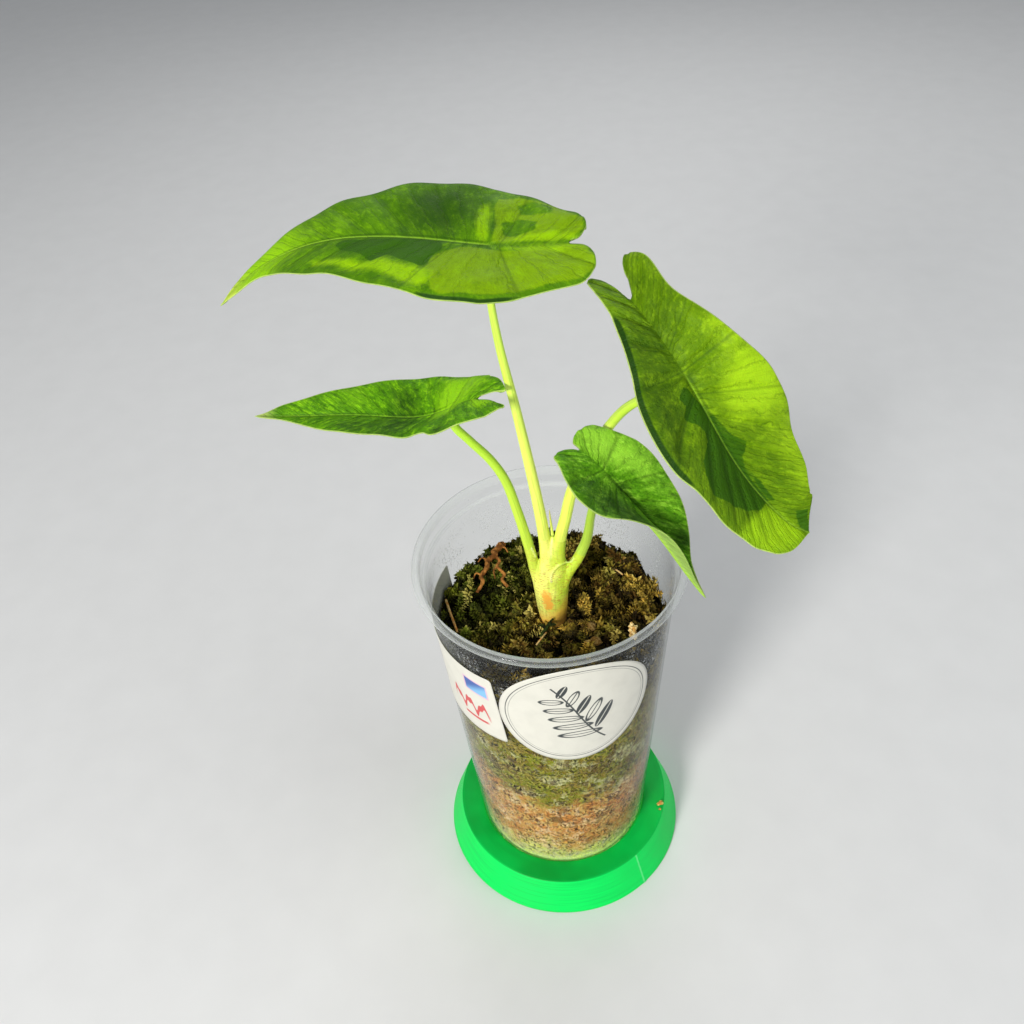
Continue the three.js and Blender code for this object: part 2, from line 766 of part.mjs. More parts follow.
function priceLabelShape() {
  const { width, height, turn, middle, tilt, columns, rows } = PRICE_LABEL;
  const points = [];
  const triangles = [];
  const [c, s] = [Math.cos(radians(tilt)), Math.sin(radians(tilt))];
  for (let j = 0; j <= rows; j += 1) {
    for (let k = 0; k <= columns; k += 1) {
      const x = width * (k / columns - 0.5);
      const y = height * (j / rows - 0.5);
      points.push([x * c - y * s, x * s + y * c]);
    }
  }
  const wide = columns + 1;
  for (let j = 0; j < rows; j += 1) {
    for (let k = 0; k < columns; k += 1) {
      const a = j * wide + k;
      triangles.push([a, a + 1, a + wide + 1], [a, a + wide + 1, a + wide]);
    }
  }
  return labelShape(points, triangles, turn, middle);
}

// Loose things on the moss and on the stand

/** A lumpy crumb with the given half sizes, turned about Z, with its middle at a point. */
function crumbShape(middle, half, turn, detail = 2) {
  const ball = new THREE.IcosahedronGeometry(1, detail);
  ball.deleteAttribute("normal");
  ball.deleteAttribute("uv");
  const merged = mergeVertices(ball, 1e-4);
  const position = merged.attributes.position;
  const points = [];
  for (let k = 0; k < position.count; k += 1) {
    const p = new THREE.Vector3().fromBufferAttribute(position, k);
    const knob = 0.86 + 0.14 * Math.sin(4.1 * p.x + 1.7 * p.z + turn) * Math.cos(5.3 * p.y - 2.2 * p.z);
    p.multiplyScalar(knob).multiply(new THREE.Vector3(...half));
    points.push(p.applyAxisAngle(new THREE.Vector3(0, 0, 1), radians(turn)).add(middle));
  }
  const index = merged.index.array;
  const triangles = [];
  for (let i = 0; i < index.length; i += 3) triangles.push([index[i], index[i + 1], index[i + 2]]);
  return closed(points, triangles);
}

/** How far a shape has to rise to lie just clear of the moss under it. */
function riseAboveMoss(geometry) {
  const position = geometry.attributes.position;
  let rise = -Infinity;
  for (let k = 0; k < position.count; k += 1) {
    rise = Math.max(rise, mossHeight(position.getX(k), position.getY(k)) - position.getZ(k));
  }
  return rise + FIT;
}

const lift = (line) => line.map(([x, y, up]) => [x, y, MOSS.top + up]);

function strawShape() {
  const straw = skin(ringsAlong(curveThrough(lift(STRAW.line)), () => STRAW.radius, TWIG.sides, 6));
  return straw.translate(0, 0, riseAboveMoss(straw));
}

function twigShape() {
  const taper = (u) => TWIG.thick + (TWIG.thin - TWIG.thick) * u;
  const stem = skin(ringsAlong(curveThrough(lift(TWIG.line)), taper, TWIG.sides, 12));
  const side = skin(ringsAlong(curveThrough(lift(TWIG.branch)), () => TWIG.thin, TWIG.sides, 7));
  const twig = geometryOf(solidOf(stem).add(solidOf(side)));
  return twig.translate(0, 0, riseAboveMoss(twig));
}

function mossCrumbShape({ at, above, half, turn }) {
  const crumb = crumbShape(new THREE.Vector3(at[0], at[1], MOSS.top + above), half, turn);
  return crumb.translate(0, 0, riseAboveMoss(crumb));
}

/** The golden crumb that sticks to the inside of the wall under the rim. */
function wallCrumbShape() {
  const { turn, height, half } = WALL_CRUMB;
  const r = wallRadius(height) - CUP.wall - FIT - half[1];
  const a = radians(turn);
  return crumbShape(new THREE.Vector3(r * Math.sin(a), -r * Math.cos(a), height), half, turn);
}

function standCrumbShape({ at, half, turn }) {
  const crumb = crumbShape(new THREE.Vector3(at[0], at[1], 0), half, turn, 1);
  crumb.computeBoundingBox();
  return crumb.translate(0, 0, STAND.height + FIT - crumb.boundingBox.min.z);
}

// Materials and the model

const finish = (color, roughness) => new THREE.MeshStandardMaterial({ color, roughness, metalness: 0 });
const materials = {
  stand: finish(0x18b45c, 0.45),
  cup: new THREE.MeshStandardMaterial({ color: 0xdfe6e4, roughness: 0.08, transparent: true, opacity: 0.3 }),
  moss: finish(0x5b5a25, 0.95),
  crown: finish(0xd3dd78, 0.5),
  petiole: finish(0xb4d651, 0.45),
  blade: finish(0x6aa313, 0.4),
  paper: finish(0xf2f2ec, 0.5),
  twig: finish(0xb5622e, 0.8),
  crumb: finish(0xd7a962, 0.9),
};

const model = new THREE.Group();
function place(name, geometry, material) {
  const mesh = new THREE.Mesh(geometry, material);
  mesh.name = name;
  model.add(mesh);
}

place("stand", standShape(), materials.stand);
place("cup", cupShape(), materials.cup);
place("moss", mossShape(), materials.moss);
place("crown", crownShape(), materials.crown);
PETIOLES.forEach((stem, k) => place(stem.name, petioleShape(stem, BLADES[k]), materials.petiole));
BLADES.forEach((leaf) => place(leaf.name, bladeShape(leaf), materials.blade));
place("new_leaf_spear", spearShape(), materials.petiole);
place("round_label", roundLabelShape(), materials.paper);
place("price_label", priceLabelShape(), materials.paper);
place("dead_twig", twigShape(), materials.twig);
place("pale_straw", strawShape(), materials.crumb);
CRUMBS.forEach((crumb) => place(crumb.name, mossCrumbShape(crumb), materials.crumb));
place("wall_crumb", wallCrumbShape(), materials.crumb);
STAND_CRUMBS.forEach((crumb) => place(crumb.name, standCrumbShape(crumb), materials.crumb));

export default model;
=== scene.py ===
"""A variegated lava alocasia growing in moss, in a clear drinks cup on a round printed stand."""
import math

import bmesh
import bpy
import numpy as np
from bpy.props import FloatProperty, FloatVectorProperty, IntProperty, PointerProperty
from bpy.types import Operator, Panel, PropertyGroup
from mathutils import Matrix, Vector, noise


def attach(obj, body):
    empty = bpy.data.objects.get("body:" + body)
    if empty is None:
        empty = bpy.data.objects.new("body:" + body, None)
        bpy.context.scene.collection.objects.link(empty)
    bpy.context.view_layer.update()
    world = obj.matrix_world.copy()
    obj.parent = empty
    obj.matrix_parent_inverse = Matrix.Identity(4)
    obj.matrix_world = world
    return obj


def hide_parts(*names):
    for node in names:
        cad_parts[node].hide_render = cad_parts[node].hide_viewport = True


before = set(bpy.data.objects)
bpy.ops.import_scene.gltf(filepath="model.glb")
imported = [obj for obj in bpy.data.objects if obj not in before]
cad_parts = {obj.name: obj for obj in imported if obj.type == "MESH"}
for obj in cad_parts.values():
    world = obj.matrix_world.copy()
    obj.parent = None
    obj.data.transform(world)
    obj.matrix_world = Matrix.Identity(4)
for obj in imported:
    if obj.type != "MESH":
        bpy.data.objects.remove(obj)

bl_info = {
    "name": "Alocasia in a clear cup",
    "version": (1, 0, 0),
    "blender": (4, 5, 0),
    "location": "View3D > Sidebar > Alocasia",
    "description": "Builds a young variegated alocasia in a moss-filled cup on a stand",
    "category": "Add Mesh",
}

# Sizes are in millimetres and angles in degrees, as in the part's source, and turn into metres
# when a mesh is made.
MM = 0.001
# The gap between pieces that touch.
FIT = 0.3

STAND = {
    "height": 16,
    "foot_radius": 49.4,
    "top_radius": 44.1,
    "recess_depth": 8,
}
CUP = {
    "wall": 0.8,
    "floor_radius": 34.2,
    "slope": 0.0645,
    "foot_ring": 3,
    "floor_lift": 2,
    "step_height": 153.5,
    "step_out": 0.8,
    "rim_radius": 47.5,
    "rim_top": 160.7,
    "bead_height": 3,
    "bead_width": 2.8,
}
CUP_FOOT = STAND["height"] - STAND["recess_depth"] + FIT
MOSS = {"top": 128.5, "lumps": 2.6, "wall_lift": 2.2, "back_lift": 2.4, "side_dents": 1.3}
MOSS_FLOOR = CUP_FOOT + CUP["floor_lift"] + CUP["wall"] + FIT
# The grid of the moss bed: the hole round the stem, and how much its rings crowd towards the wall.
BED = {"hole": 4.2, "sectors": 340, "rings": 110, "side_rings": 130, "spread": 0.85}
TUFT_LEAVES = 7
SPRAY_LEAVES = 5
LEAF_POINTS = 6

# The crown's height, middle in X and in Y, and half width in X and in Y.
CROWN_BODY = [
    (115, 0.2, 0, 4.3, 4.2),
    (126.5, 0.3, 0, 4.6, 4.4),
    (132, 0.15, 0, 5.1, 4.8),
    (137, 0.1, 0, 5.6, 5.0),
    (142.5, 0.1, 0, 6.0, 5.0),
    (147.6, 0.15, 0, 6.4, 4.7),
    (153, 0.5, -0.3, 6.2, 3.9),
    (158, 1.0, -0.3, 4.6, 3.0),
    (163, 1.2, -0.4, 2.7, 2.1),
    (166.5, 1.3, -0.3, 1.2, 1.2),
    (168.8, 1.5, 0.1, 0.4, 0.4),
]
SHEATH_CUT = 3.2
STALK_SIDES = 28

# Each petiole's middle line from inside the crown to the blade, its radius low down and at the blade,
# its colours at the same places, and the height where it comes free of the crown.
PETIOLES = {
    "petiole_1": {
        "line": [
            (-1.4, 0, 146), (-1.2, 0.1, 166), (-2.8, 0.4, 185), (-6.9, 1.2, 218), (-11, 2, 246.5),
            (-12.2, 2.5, 262),
        ],
        "low": 2.3, "high": 1.15,
        "shades": ((240, 252, 112), (204, 238, 86)),
        "cut": 166,
    },
    "petiole_2": {
        "line": [
            (3, -0.6, 146), (3.7, -1, 166.5), (6.1, -0.3, 177.6), (8.4, 0.1, 188.4), (12, -0.3, 198.8),
            (17.8, -2.9, 212.5), (24, -9.2, 227.1), (31.2, -20.4, 241),
        ],
        "low": 2.3, "high": 1.3,
        "shades": ((232, 248, 100), (188, 224, 66)),
        "cut": 166,
    },
    "petiole_3": {
        "line": [
            (-3.9, -0.3, 145), (-5.2, 0, 153.3), (-6.5, 0.1, 163.5), (-9.7, 0.8, 181),
            (-12.7, 1.6, 193.7), (-16.7, 2.1, 202), (-22.7, 2.7, 210), (-26.8, 3.3, 215.6),
        ],
        "low": 2.0, "high": 1.4,
        "shades": ((208, 236, 76), (176, 220, 56)),
        "cut": 162,
    },
    "petiole_4": {
        "line": [
            (3.6, -1.4, 145), (6.2, -1.2, 152.3), (9.5, -0.7, 158), (11.6, -0.8, 163.5),
            (12.9, -2.4, 169.5), (14.3, -8.4, 187), (16.4, -15.4, 203),
        ],
        "low": 2.1, "high": 1.1,
        "shades": ((190, 222, 80), (150, 190, 62)),
        "cut": 158.5,
    },
}
# The free edges of the sheaths and the crease of the scar, with the thickness of each.
SHEATH_EDGES = [
    (
        [(8.3, -1.4, 159.4), (7.2, -1.7, 157.9), (5.4, -2.2, 158.2), (3.7, -3.1, 158.3), (1.9, -3.5, 156.9),
         (0.7, -3.9, 155.4), (0.2, -4.2, 153.4), (0.2, -4.6, 151.1)],
        0.5,
    ),
    ([(-5.9, -1.4, 166.2), (-5.2, -1.7, 163.8), (-4.4, -1.6, 160.6)], 0.42),
    ([(1.5, -0.6, 168.7), (0.9, -1.8, 165.5), (0.6, -2.5, 160.8)], 0.35),
]
# The middle lines of the new leaf's two thin tips, with their radii at the foot and at the point.
SPEARS = [
    ([(1.5, 0.3, 169.2), (1.2, 1, 174), (0.9, 0.8, 180.4)], 0.5, 0.06),
    ([(0.6, 0.5, 166.5), (0.1, 1.1, 172), (-0.5, 1.4, 178.2)], 0.36, 0.04),
]

BLADE_THICKNESS = 0.7
RIPPLE = {"height": 0.45, "length": 19}
LONGEST_BLADE = 123
# How far apart side veins are as a share of the midrib ahead, and where the first one starts, in
# such spaces.
VEIN_SPACING = 0.125
FIRST_VEIN = 0.72
ANGLE_STATIONS = (-1, 0, 1 / 3, 2 / 3, 1)
WIDTH_STATIONS = (-1, -0.8, -0.5, -0.2, 0, 0.2, 0.4, 0.6, 0.75, 0.87, 0.95, 1)

# Each blade as in the part's source: the petiole's joint, the midrib's length ahead of it and
# behind it, the sinus, the midrib's heading, pitch and roll, and the two halves. Then how deep its
# pleats are, where its pale tip starts, how much its nerves, marbling and midrib show, how wide its
# pale hem is, its own colours, and where a margin is rolled: from, to and how far.
BLADES = {
    "blade_1": {
        "joint": (-11.8, 3, 276), "ahead": 94.5, "behind": 28.3, "sinus": 22,
        "heading": (179, 171, 164, 160, 174), "pitch": (-15, 5, -5, -28, -45),
        "roll": (17, 14, 15, 17, 22), "pleats": 1.3, "pale_from": 0.8, "nerves": 0.13, "marble": 0.25,
        "rib": 0.5, "hem": 0.3,
        "shades": {
            "base": (70, 116, 4), "fresh": (88, 136, 4), "lime": (122, 160, 4), "light": (152, 210, 10),
            "bright": (152, 200, 0), "tip": (224, 243, 92),
        },
        "port": {
            "rolled": [(-14, 19, 0.9)],
            "lobe": 28.3, "slit": 2, "round": 0.18,
            "width": (13, 15, 17.3, 19.8, 21.8, 21, 16.2, 11, 5.2, 3.2, 1.4), "fold": (2, 6, 9, 9, 8),
            "rim": (-8, -3, 3, 2, 0),
        },
        "starboard": {
            "lobe": 27.5, "slit": 1, "round": 0.12,
            "width": (9, 12.5, 17.5, 20.4, 21.6, 21, 16, 11.5, 6.2, 2.7, 1), "fold": (4, 6, 9, 9, 9),
            "rim": (-5, -2, 2, 1, 0),
        },
    },
    "blade_2": {
        "joint": (37.6, -32.1, 253.8), "ahead": 53.3, "behind": 40, "sinus": 26,
        "heading": (-72, -48, -40, -37, -39), "pitch": (7, -45, -53, -40, -17),
        "roll": (-15, -15, -8, -7, -17),
        "hook": {"from": 46, "over": 9, "heading": 30, "pitch": 10},
        "pleats": 2.2, "nerves": 0.16, "marble": 0.3, "rib": 0.3, "hem": 0.3,
        "shades": {
            "base": (92, 130, 3), "fresh": (106, 144, 5), "lime": (150, 200, 20), "light": (172, 216, 26),
            "bright": (160, 208, 20),
        },
        "port": {
            "lobe": 40, "slit": 4.5, "round": 0.16,
            "width": (9.3, 10.7, 10.1, 14.8, 17.3, 21.2, 21.3, 18.9, 15.3, 10.6, 9.3),
            "fold": (21, 19, 17, 15, 18), "rim": (25, 22, 17, 12, 12), "blunt": 2.5,
        },
        "starboard": {
            "rolled": [(-26, 24, 1.5)],
            "lobe": 38.8, "slit": 0.6, "round": 0.36,
            "width": (9.8, 7.7, 8.6, 13.1, 17.2, 21, 20.1, 18.7, 15.8, 14, 11.3),
            "fold": (17, 16, 16, 14, 11), "rim": (23, 19, 18, 14, 11), "blunt": 11,
        },
    },
    "blade_3": {
        "joint": (-28.3, 4, 221.8), "ahead": 67.7, "behind": 25, "sinus": 13.5,
        "heading": (152, 150, 163, 176, 180), "pitch": (-11, -36, -5, -1, 7),
        "roll": (7, 8, 10, 14, 18), "pale_from": 0.88, "nerves": 0.16, "marble": 0.75, "rib": 0.3,
        "hem": 0.4,
        "shades": {
            "base": (78, 136, 6), "fresh": (96, 156, 8), "lime": (127, 190, 8), "light": (152, 214, 22),
            "bright": (150, 208, 20), "tip": (204, 206, 132),
        },
        "port": {
            "lobe": 25, "slit": 0.8, "round": 0.45,
            "width": (6, 10, 12.6, 15.5, 13.8, 12.6, 11.7, 9.8, 5.4, 2, 1), "fold": (2, 11, 19, 20, 20),
            "rim": (-5, 8, 21, 22, 22),
        },
        "starboard": {
            "lobe": 22.5, "slit": 0.6, "round": 0.7,
            "width": (5.4, 9.2, 10, 11.8, 13.2, 14.8, 12.4, 9.2, 6.5, 4, 1.2),
            "fold": (12, 16, 21, 21, 21), "rim": (-6, 4, 14, 16, 16),
        },
    },
    "blade_4": {
        "joint": (18.2, -21.3, 213.7), "ahead": 45.8, "behind": 15.6, "sinus": 10.7,
        "heading": (-43, -35, -43, -53, -50), "pitch": (-2, -38, -33, -34, -29),
        "roll": (-5, -5, 12, 28, 13), "pale_from": 0.8, "nerves": 0.16, "marble": 0.7, "rib": -0.6,
        "hem": 0.5,
        "shades": {
            "base": (84, 146, 14), "fresh": (108, 170, 24), "lime": (146, 208, 44), "light": (168, 228, 66),
            "bright": (168, 228, 66), "tip": (206, 210, 96),
        },
        "port": {
            "lobe": 15.5, "slit": 0.5, "round": 0.16,
            "width": (9.1, 10.4, 12.1, 13.6, 14.5, 15.3, 12.5, 7.9, 3.3, 1.4, 0.6),
            "fold": (8, 14, 25, 42, 62), "rim": (-4, 8, 23, 41, 60),
        },
        "starboard": {
            "lobe": 14.9, "slit": 0.8, "round": 0.3,
            "width": (10.1, 9.3, 12.1, 14.2, 15.1, 17.1, 11.4, 7.8, 5.6, 2.2, 0.8),
            "fold": (-4, 8, 26, 47, 66), "rim": (12, 12, 32, 54, 70),
        },
    },
}

# Sectors of each blade as outlines of places in millimetres along its midrib from the joint and across from
# it, port above 0; and broad light and dark tones as (along, across, radius, amount), which are painted light
# and shade and partly the blade's own colour.
MARKINGS = {
    "blade_1": {
        "dark": [
            [(41.8, 4), (39.8, 1.4), (35.2, 1.5), (23.7, 0.9), (16.7, 0.6), (12.1, 0.9), (11, 3.5),
             (12.5, 5.3), (13.3, 7.5), (13.7, 10.3), (15.2, 11.5), (17.9, 11), (21, 10.2), (24.8, 8.3),
             (26.4, 9.3), (28.3, 11.2), (32.5, 8.7), (37.5, 7.5)],
        ],
        "bright": [
            [(47.2, 9.4), (41, 10), (36.4, 10.8), (31.8, 11.2), (28.3, 11.2), (25.6, 9.7),
             (22.9, 10.9), (19.4, 11.5), (15.2, 12.1), (13.3, 11.9), (12.1, 14.5), (11.4, 17.7),
             (14.8, 19), (20.2, 17.5), (26.4, 14.9), (33.7, 14.1), (40.2, 12.6), (46.4, 11.2)],
            [(3.1, -13.5), (1.2, -14.7), (0.4, -11.9), (0.4, -8.1), (0.4, -3.1), (1.2, -0.6),
             (2.3, -2.2), (3.9, -5.3), (4.6, -9.1), (3.9, -12.3)],
            [(-1.9, -1.2), (-8.8, -3.7), (-18.3, -4.7), (-25.2, -1.1), (-26.4, 2.9), (-22.5, -0.8),
             (-11.4, -1.9), (-3.4, -0.6)],
            [(-3.7, 0.9), (-14.5, -0.2), (-22.5, 0.9), (-24.8, 2.8), (-19.4, 3.2), (-9.1, 1.9)],
        ],
        "lime": [
            [(10.6, 4.1), (4, 1.9), (-1.4, 2.2), (-9.1, 1.9), (-22.5, 0.9), (-26, 2.8), (-28.3, 7.5),
             (-27.5, 10.6), (-24.8, 13), (-19.1, 14.1), (-10.2, 16.3), (-1.4, 19.1), (8.3, 20.3),
             (11.4, 19.2), (12.1, 14.5), (14, 11.6), (13.7, 7.8), (12.5, 5.7)],
            [(-1.1, -1.2), (-1.1, -7.2), (0, -13.5), (-1.1, -16.8), (-7.2, -18.2), (-18.7, -14.6),
             (-27.1, -7), (-26.7, -2.5), (-22.5, -0.8), (-11.4, -1.9)],
        ],
        "holes": [
            [(-6.8, -14.8), (-12.2, -16.3), (-17.9, -13.6), (-17.9, -11.2), (-12.6, -11), (-8, -12)],
            [(-3, -8.3), (-8, -10), (-13.3, -8.2), (-13, -5.4), (-7.2, -3.7), (-3.8, -4.2)],
        ],
        "tones": [
            (11.5, -12.9, 13.2, -0.7), (18.8, -8.2, 8.8, -0.45), (31.8, -13.1, 7.4, -0.25),
            (41.7, -4.8, 8.2, 0.35), (60.8, -2.6, 11, 0.6), (76, 1, 11, 1.1),
            (-9.8, 9.1, 7.4, 0.15), (-2.6, -8.6, 4.1, -0.2),
        ],
    },
    "blade_2": {
        "dark": [
            [(1.6, -2.3), (5.4, -1.1), (9.7, -0.6), (15.6, 0), (24.9, 0.9), (32.5, 1.1), (39.3, 0.9),
             (39.4, -4.4), (36.6, -8.4), (33.4, -11.1), (29.3, -14.2), (26.2, -15.9), (23.9, -15.8),
             (20.7, -14.3), (18.1, -12.2), (16.6, -7.5), (16.1, -4.5), (13.5, -4.9), (11.4, -5.8),
             (9.7, -7.2), (7.4, -8.2), (5.7, -6), (3.1, -6.4), (1.9, -4.4)],
            [(7.4, -0.3), (11.8, 1.5), (15.3, 2.2), (19.4, 3.1), (22.9, 5.8), (24.6, 5.1), (25.5, 2.4),
             (29.6, 2), (34.3, 2.6), (40.7, 2.1), (39.3, 0.9), (32.5, 1.1), (24.6, 0.9), (15.6, 0)],
            # Painted shadow in the pocket at the hooked tip.
            [(46.6, 3.7), (50.4, 6), (52.7, 1.4), (53.3, 0), (50.4, 0.4)],
        ],
        "bright": [
            # Painted highlight on the bulge beside the hooked tip.
            [(39.2, -16.1), (38.3, -10), (39.4, -1.2), (45.1, 1), (50.7, -0.1), (52.1, -2.5),
             (51, -6.4), (48.7, -10.9), (44.6, -14.3)],
        ],
        "tones": [
            (10, 18, 12.4, 0.9), (32.5, 18.2, 8.8, 0.7), (-7.5, 14.7, 7.4, 0.5),
            (-33.3, 8.3, 4.7, 0.25), (11.2, 9.9, 7.4, 0.35), (-4, 6.5, 8.2, -0.1),
            (-6.5, -8.4, 7.4, -0.1), (36.9, 4.2, 6.5, -0.35), (-12.2, 3.6, 5.3, -0.15),
            (-0.2, 1.2, 4.7, -0.3), (-14, -7, 11, -0.6), (4, -13, 9, -0.65), (16, -20, 8, -0.5),
            (-30, 6, 7, -0.45), (-18, 8, 7, -0.3), (47, -3, 4, 0.5), (43, 12, 6, 0.5), (46, -10, 4, 0.6),
        ],
    },
    "blade_3": {
        "bright": [
            [(-11.3, 0), (-14.3, -0.7), (-19.8, 1.3), (-21.5, 2.3), (-17.2, 4.1), (-13.4, 4.1)],
        ],
        "tones": [
            (35.5, -5.2, 7.6, 0.5), (-1.6, -4.6, 9.4, 1.0), (18.2, -6, 5.3, -0.55),
            (16.8, 5.6, 11.2, -0.75), (34.3, 7.6, 8.8, -0.55), (-7.6, 13.3, 5.9, -0.6),
            (56.4, -2.2, 7.4, 0.2), (23.6, -9.4, 4.1, -0.3), (-11.2, -7.1, 4.7, 0.3), (2, 3, 6, 0.4),
        ],
    },
    "blade_4": {
        "tones": [
            (-11.7, 6, 7.4, 0.65), (4.9, 9.7, 8.2, 0.6), (-3.8, 5.4, 6.5, 0.5), (17.9, 9.7, 5.3, 0.4),
            (3.2, -10.3, 10, -0.8), (16.3, -9.7, 7.1, -0.7), (6.2, 1.6, 3.2, -0.8),
            (-8.4, -5.5, 4.1, -0.25), (28.3, 4.4, 4.1, -0.9), (20.4, 3.2, 4.1, -0.5),
            (13.9, 6.8, 4.7, -0.1),
        ],
    },
}

ROUND_LABEL = {"diameter": 55.4, "turn": 9.6, "middle": 124.6}
PRICE_LABEL = {"width": 64.6, "height": 37, "corner": 1.6, "turn": -73.3, "middle": 120.3, "tilt": 1.85}

# Places on the moss, with the height above its top. A knot has its share of the line, size and turn.
TWIG = {
    "line": [
        (-18.2, 33.5, 3.2), (-18.6, 31.4, 4.6), (-20.8, 29.2, 3.8), (-20.6, 26.8, 4.8), (-23.4, 24.6, 3.4),
        (-23.4, 21.4, 3.9), (-25.8, 18.2, 2.4), (-25.2, 15.2, 2.6), (-27.4, 11.2, 1.2),
    ],
    "branch": [
        (-20.8, 27, 4.4), (-18.8, 24.8, 3.5), (-19.8, 21.8, 3.6), (-17.2, 18.6, 2.5),
        (-18, 15.8, 2.5), (-16, 13.2, 1.4),
    ],
    "rootlets": [
        [(-23, 24.8, 3.6), (-25.4, 26, 4.4), (-27, 25.2, 3)],
        [(-25.4, 18.4, 2.4), (-27.6, 19.2, 3.2), (-28.8, 17.4, 2)],
        [(-19.6, 22, 3.6), (-21, 19.6, 3.7), (-20.6, 16.6, 2.6)],
        [(-19.2, 31, 4.2), (-16.8, 30.6, 4.6), (-15.6, 28.8, 3.6)],
    ],
    "knots": [(0.03, 2.1, 30), (0.2, 1.7, 80), (0.42, 1.6, 10), (0.66, 1.2, 120)],
    "thick": 1.25,
    "thin": 0.55,
}
STRAW = [(-39, 9.2, 1.8), (-37, 2, 2.2), (-34.4, -6.4, 1.4)]
SCRAPS = [
    [(23.2, 18.5, 3.6), (24.8, 17.2, 4), (26.8, 15.4, 3.4)],
    [(-6.4, -14.8, 2.2), (-4.2, -12.3, 3), (-2.6, -9.4, 2.2)],
]
SPRIG = [
    [(-4.4, -9.2, 0), (-2.6, -7.6, 2.4), (-0.9, -6.4, 4.6), (0.1, -5.9, 5.4)],
    [(-2.6, -7.6, 2.4), (-3.9, -7.0, 3.4), (-5.2, -7.2, 3.6)],
    [(-1.6, -6.9, 3.6), (-0.2, -7.3, 4.0), (0.9, -7.2, 3.8)],
]
WALL_CRUMB = {"half": (2, 1.6, 4.7), "middle": 155.6, "turn": 38.5}


def colour(red, green, blue):
    """A colour given as it shows on a screen, 0 to 255, as Blender's linear red, green, blue, alpha."""
    def linear(value):
        value /= 255
        return value / 12.92 if value <= 0.04045 else ((value + 0.055) / 1.055) ** 2.4
    return (linear(red), linear(green), linear(blue), 1.0)


# Curves and surfaces


def smooth(stations, values, at):
    """The smooth curve through values given at rising stations, read at one place."""
    last = len(stations) - 1
    x = min(max(at, stations[0]), stations[last])
    i = 0
    while i < last - 1 and x >= stations[i + 1]:
        i += 1

    def slope(k):
        a = max(k - 1, 0)
        b = min(k + 1, last)
        return (values[b] - values[a]) / (stations[b] - stations[a])

    h = stations[i + 1] - stations[i]
    t = (x - stations[i]) / h
    start = (2 * t**3 - 3 * t**2 + 1) * values[i] + (t**3 - 2 * t**2 + t) * h * slope(i)
    return start + (-2 * t**3 + 3 * t**2) * values[i + 1] + (t**3 - t**2) * h * slope(i + 1)


def clamp(value, low=0.0, high=1.0):
    return min(max(value, low), high)


def ease(value, low, high):
    """0 below low, 1 above high and smooth between them."""
    t = np.clip((value - low) / (high - low), 0, 1)
    return t * t * (3 - 2 * t)


def ripples(x, y, z, seed=0.0):
    """A soft repeatable unevenness of about -1 to 1 over space, for numbers or arrays."""
    a = np.sin(1.7 * x + 1.1 * np.sin(1.3 * y + seed) + 0.7 * z) * np.cos(1.9 * y - 0.8 * x + seed)
    b = np.sin(2.9 * z + 1.4 * np.cos(2.1 * x - seed)) * np.cos(2.3 * x + 1.7 * y + 0.5 * z)
    c = np.sin(4.7 * x - 3.9 * y + 5.3 * z + 2 * seed) * 0.4
    return (a + b + c) / 2


def curve_through(line):
    """Many points along the centripetal curve through a few, and the share of its length at each."""
    points = [np.array(p, float) for p in line]
    points = [2 * points[0] - points[1], *points, 2 * points[-1] - points[-2]]
    out = []
    for i in range(1, len(points) - 2):
        p0, p1, p2, p3 = points[i - 1 : i + 3]
        d0 = np.linalg.norm(p1 - p0) ** 0.5
        d1 = np.linalg.norm(p2 - p1) ** 0.5
        d2 = np.linalg.norm(p3 - p2) ** 0.5
        m1 = ((p1 - p0) / d0 - (p2 - p0) / (d0 + d1) + (p2 - p1) / d1) * d1
        m2 = ((p2 - p1) / d1 - (p3 - p1) / (d1 + d2) + (p3 - p2) / d2) * d1
        for k in range(60):
            t = k / 60
            a = (2 * t**3 - 3 * t**2 + 1) * p1 + (t**3 - 2 * t**2 + t) * m1
            out.append(a + (-2 * t**3 + 3 * t**2) * p2 + (t**3 - t**2) * m2)
    out.append(points[-2])
    out = np.array(out)
    lengths = np.concatenate([[0], np.cumsum(np.linalg.norm(np.diff(out, axis=0), axis=1))])
    return out, lengths / lengths[-1]


def place_on(curve, share):
    """The point and the direction at a share of a curve's length."""
    points, shares = curve

    def at(u):
        return np.array([np.interp(u, shares, points[:, k]) for k in range(3)])

    along = at(share + 0.004) - at(share - 0.004)
    return at(share), along / np.linalg.norm(along)


def rings_along(curve, radius_at, sides, steps, start=0.0, end=1.0):
    """Rings of points round a curve. radius_at takes the share of the length and the angle."""
    rings = []
    across = np.array([1.0, 0.0, 0.0])
    angles = np.linspace(0, 2 * math.pi, sides, endpoint=False)
    for j in range(steps + 1):
        share = start + (end - start) * j / steps
        middle, along = place_on(curve, share)
        across = across - along * across.dot(along)
        across /= np.linalg.norm(across)
        other = np.cross(along, across)
        radius = np.array([radius_at(share, a) for a in angles])[:, None]
        rings.append(middle + radius * (np.cos(angles)[:, None] * across + np.sin(angles)[:, None] * other))
    return rings


def bands(count, rings):
    """The faces between each ring of count points and the next."""
    faces = []
    for start in range(0, (rings - 1) * count, count):
        for k in range(count):
            a = start + k
            b = start + (k + 1) % count
            faces.append((a, b, b + count, a + count))
    return faces


def skin(rings):
    """Points and faces of a closed skin over rings of the same number of points."""
    count = len(rings[0])
    last = (len(rings) - 1) * count
    caps = [tuple(range(count))[::-1], tuple(range(last, last + count))]
    return np.concatenate(rings), bands(count, len(rings)) + caps


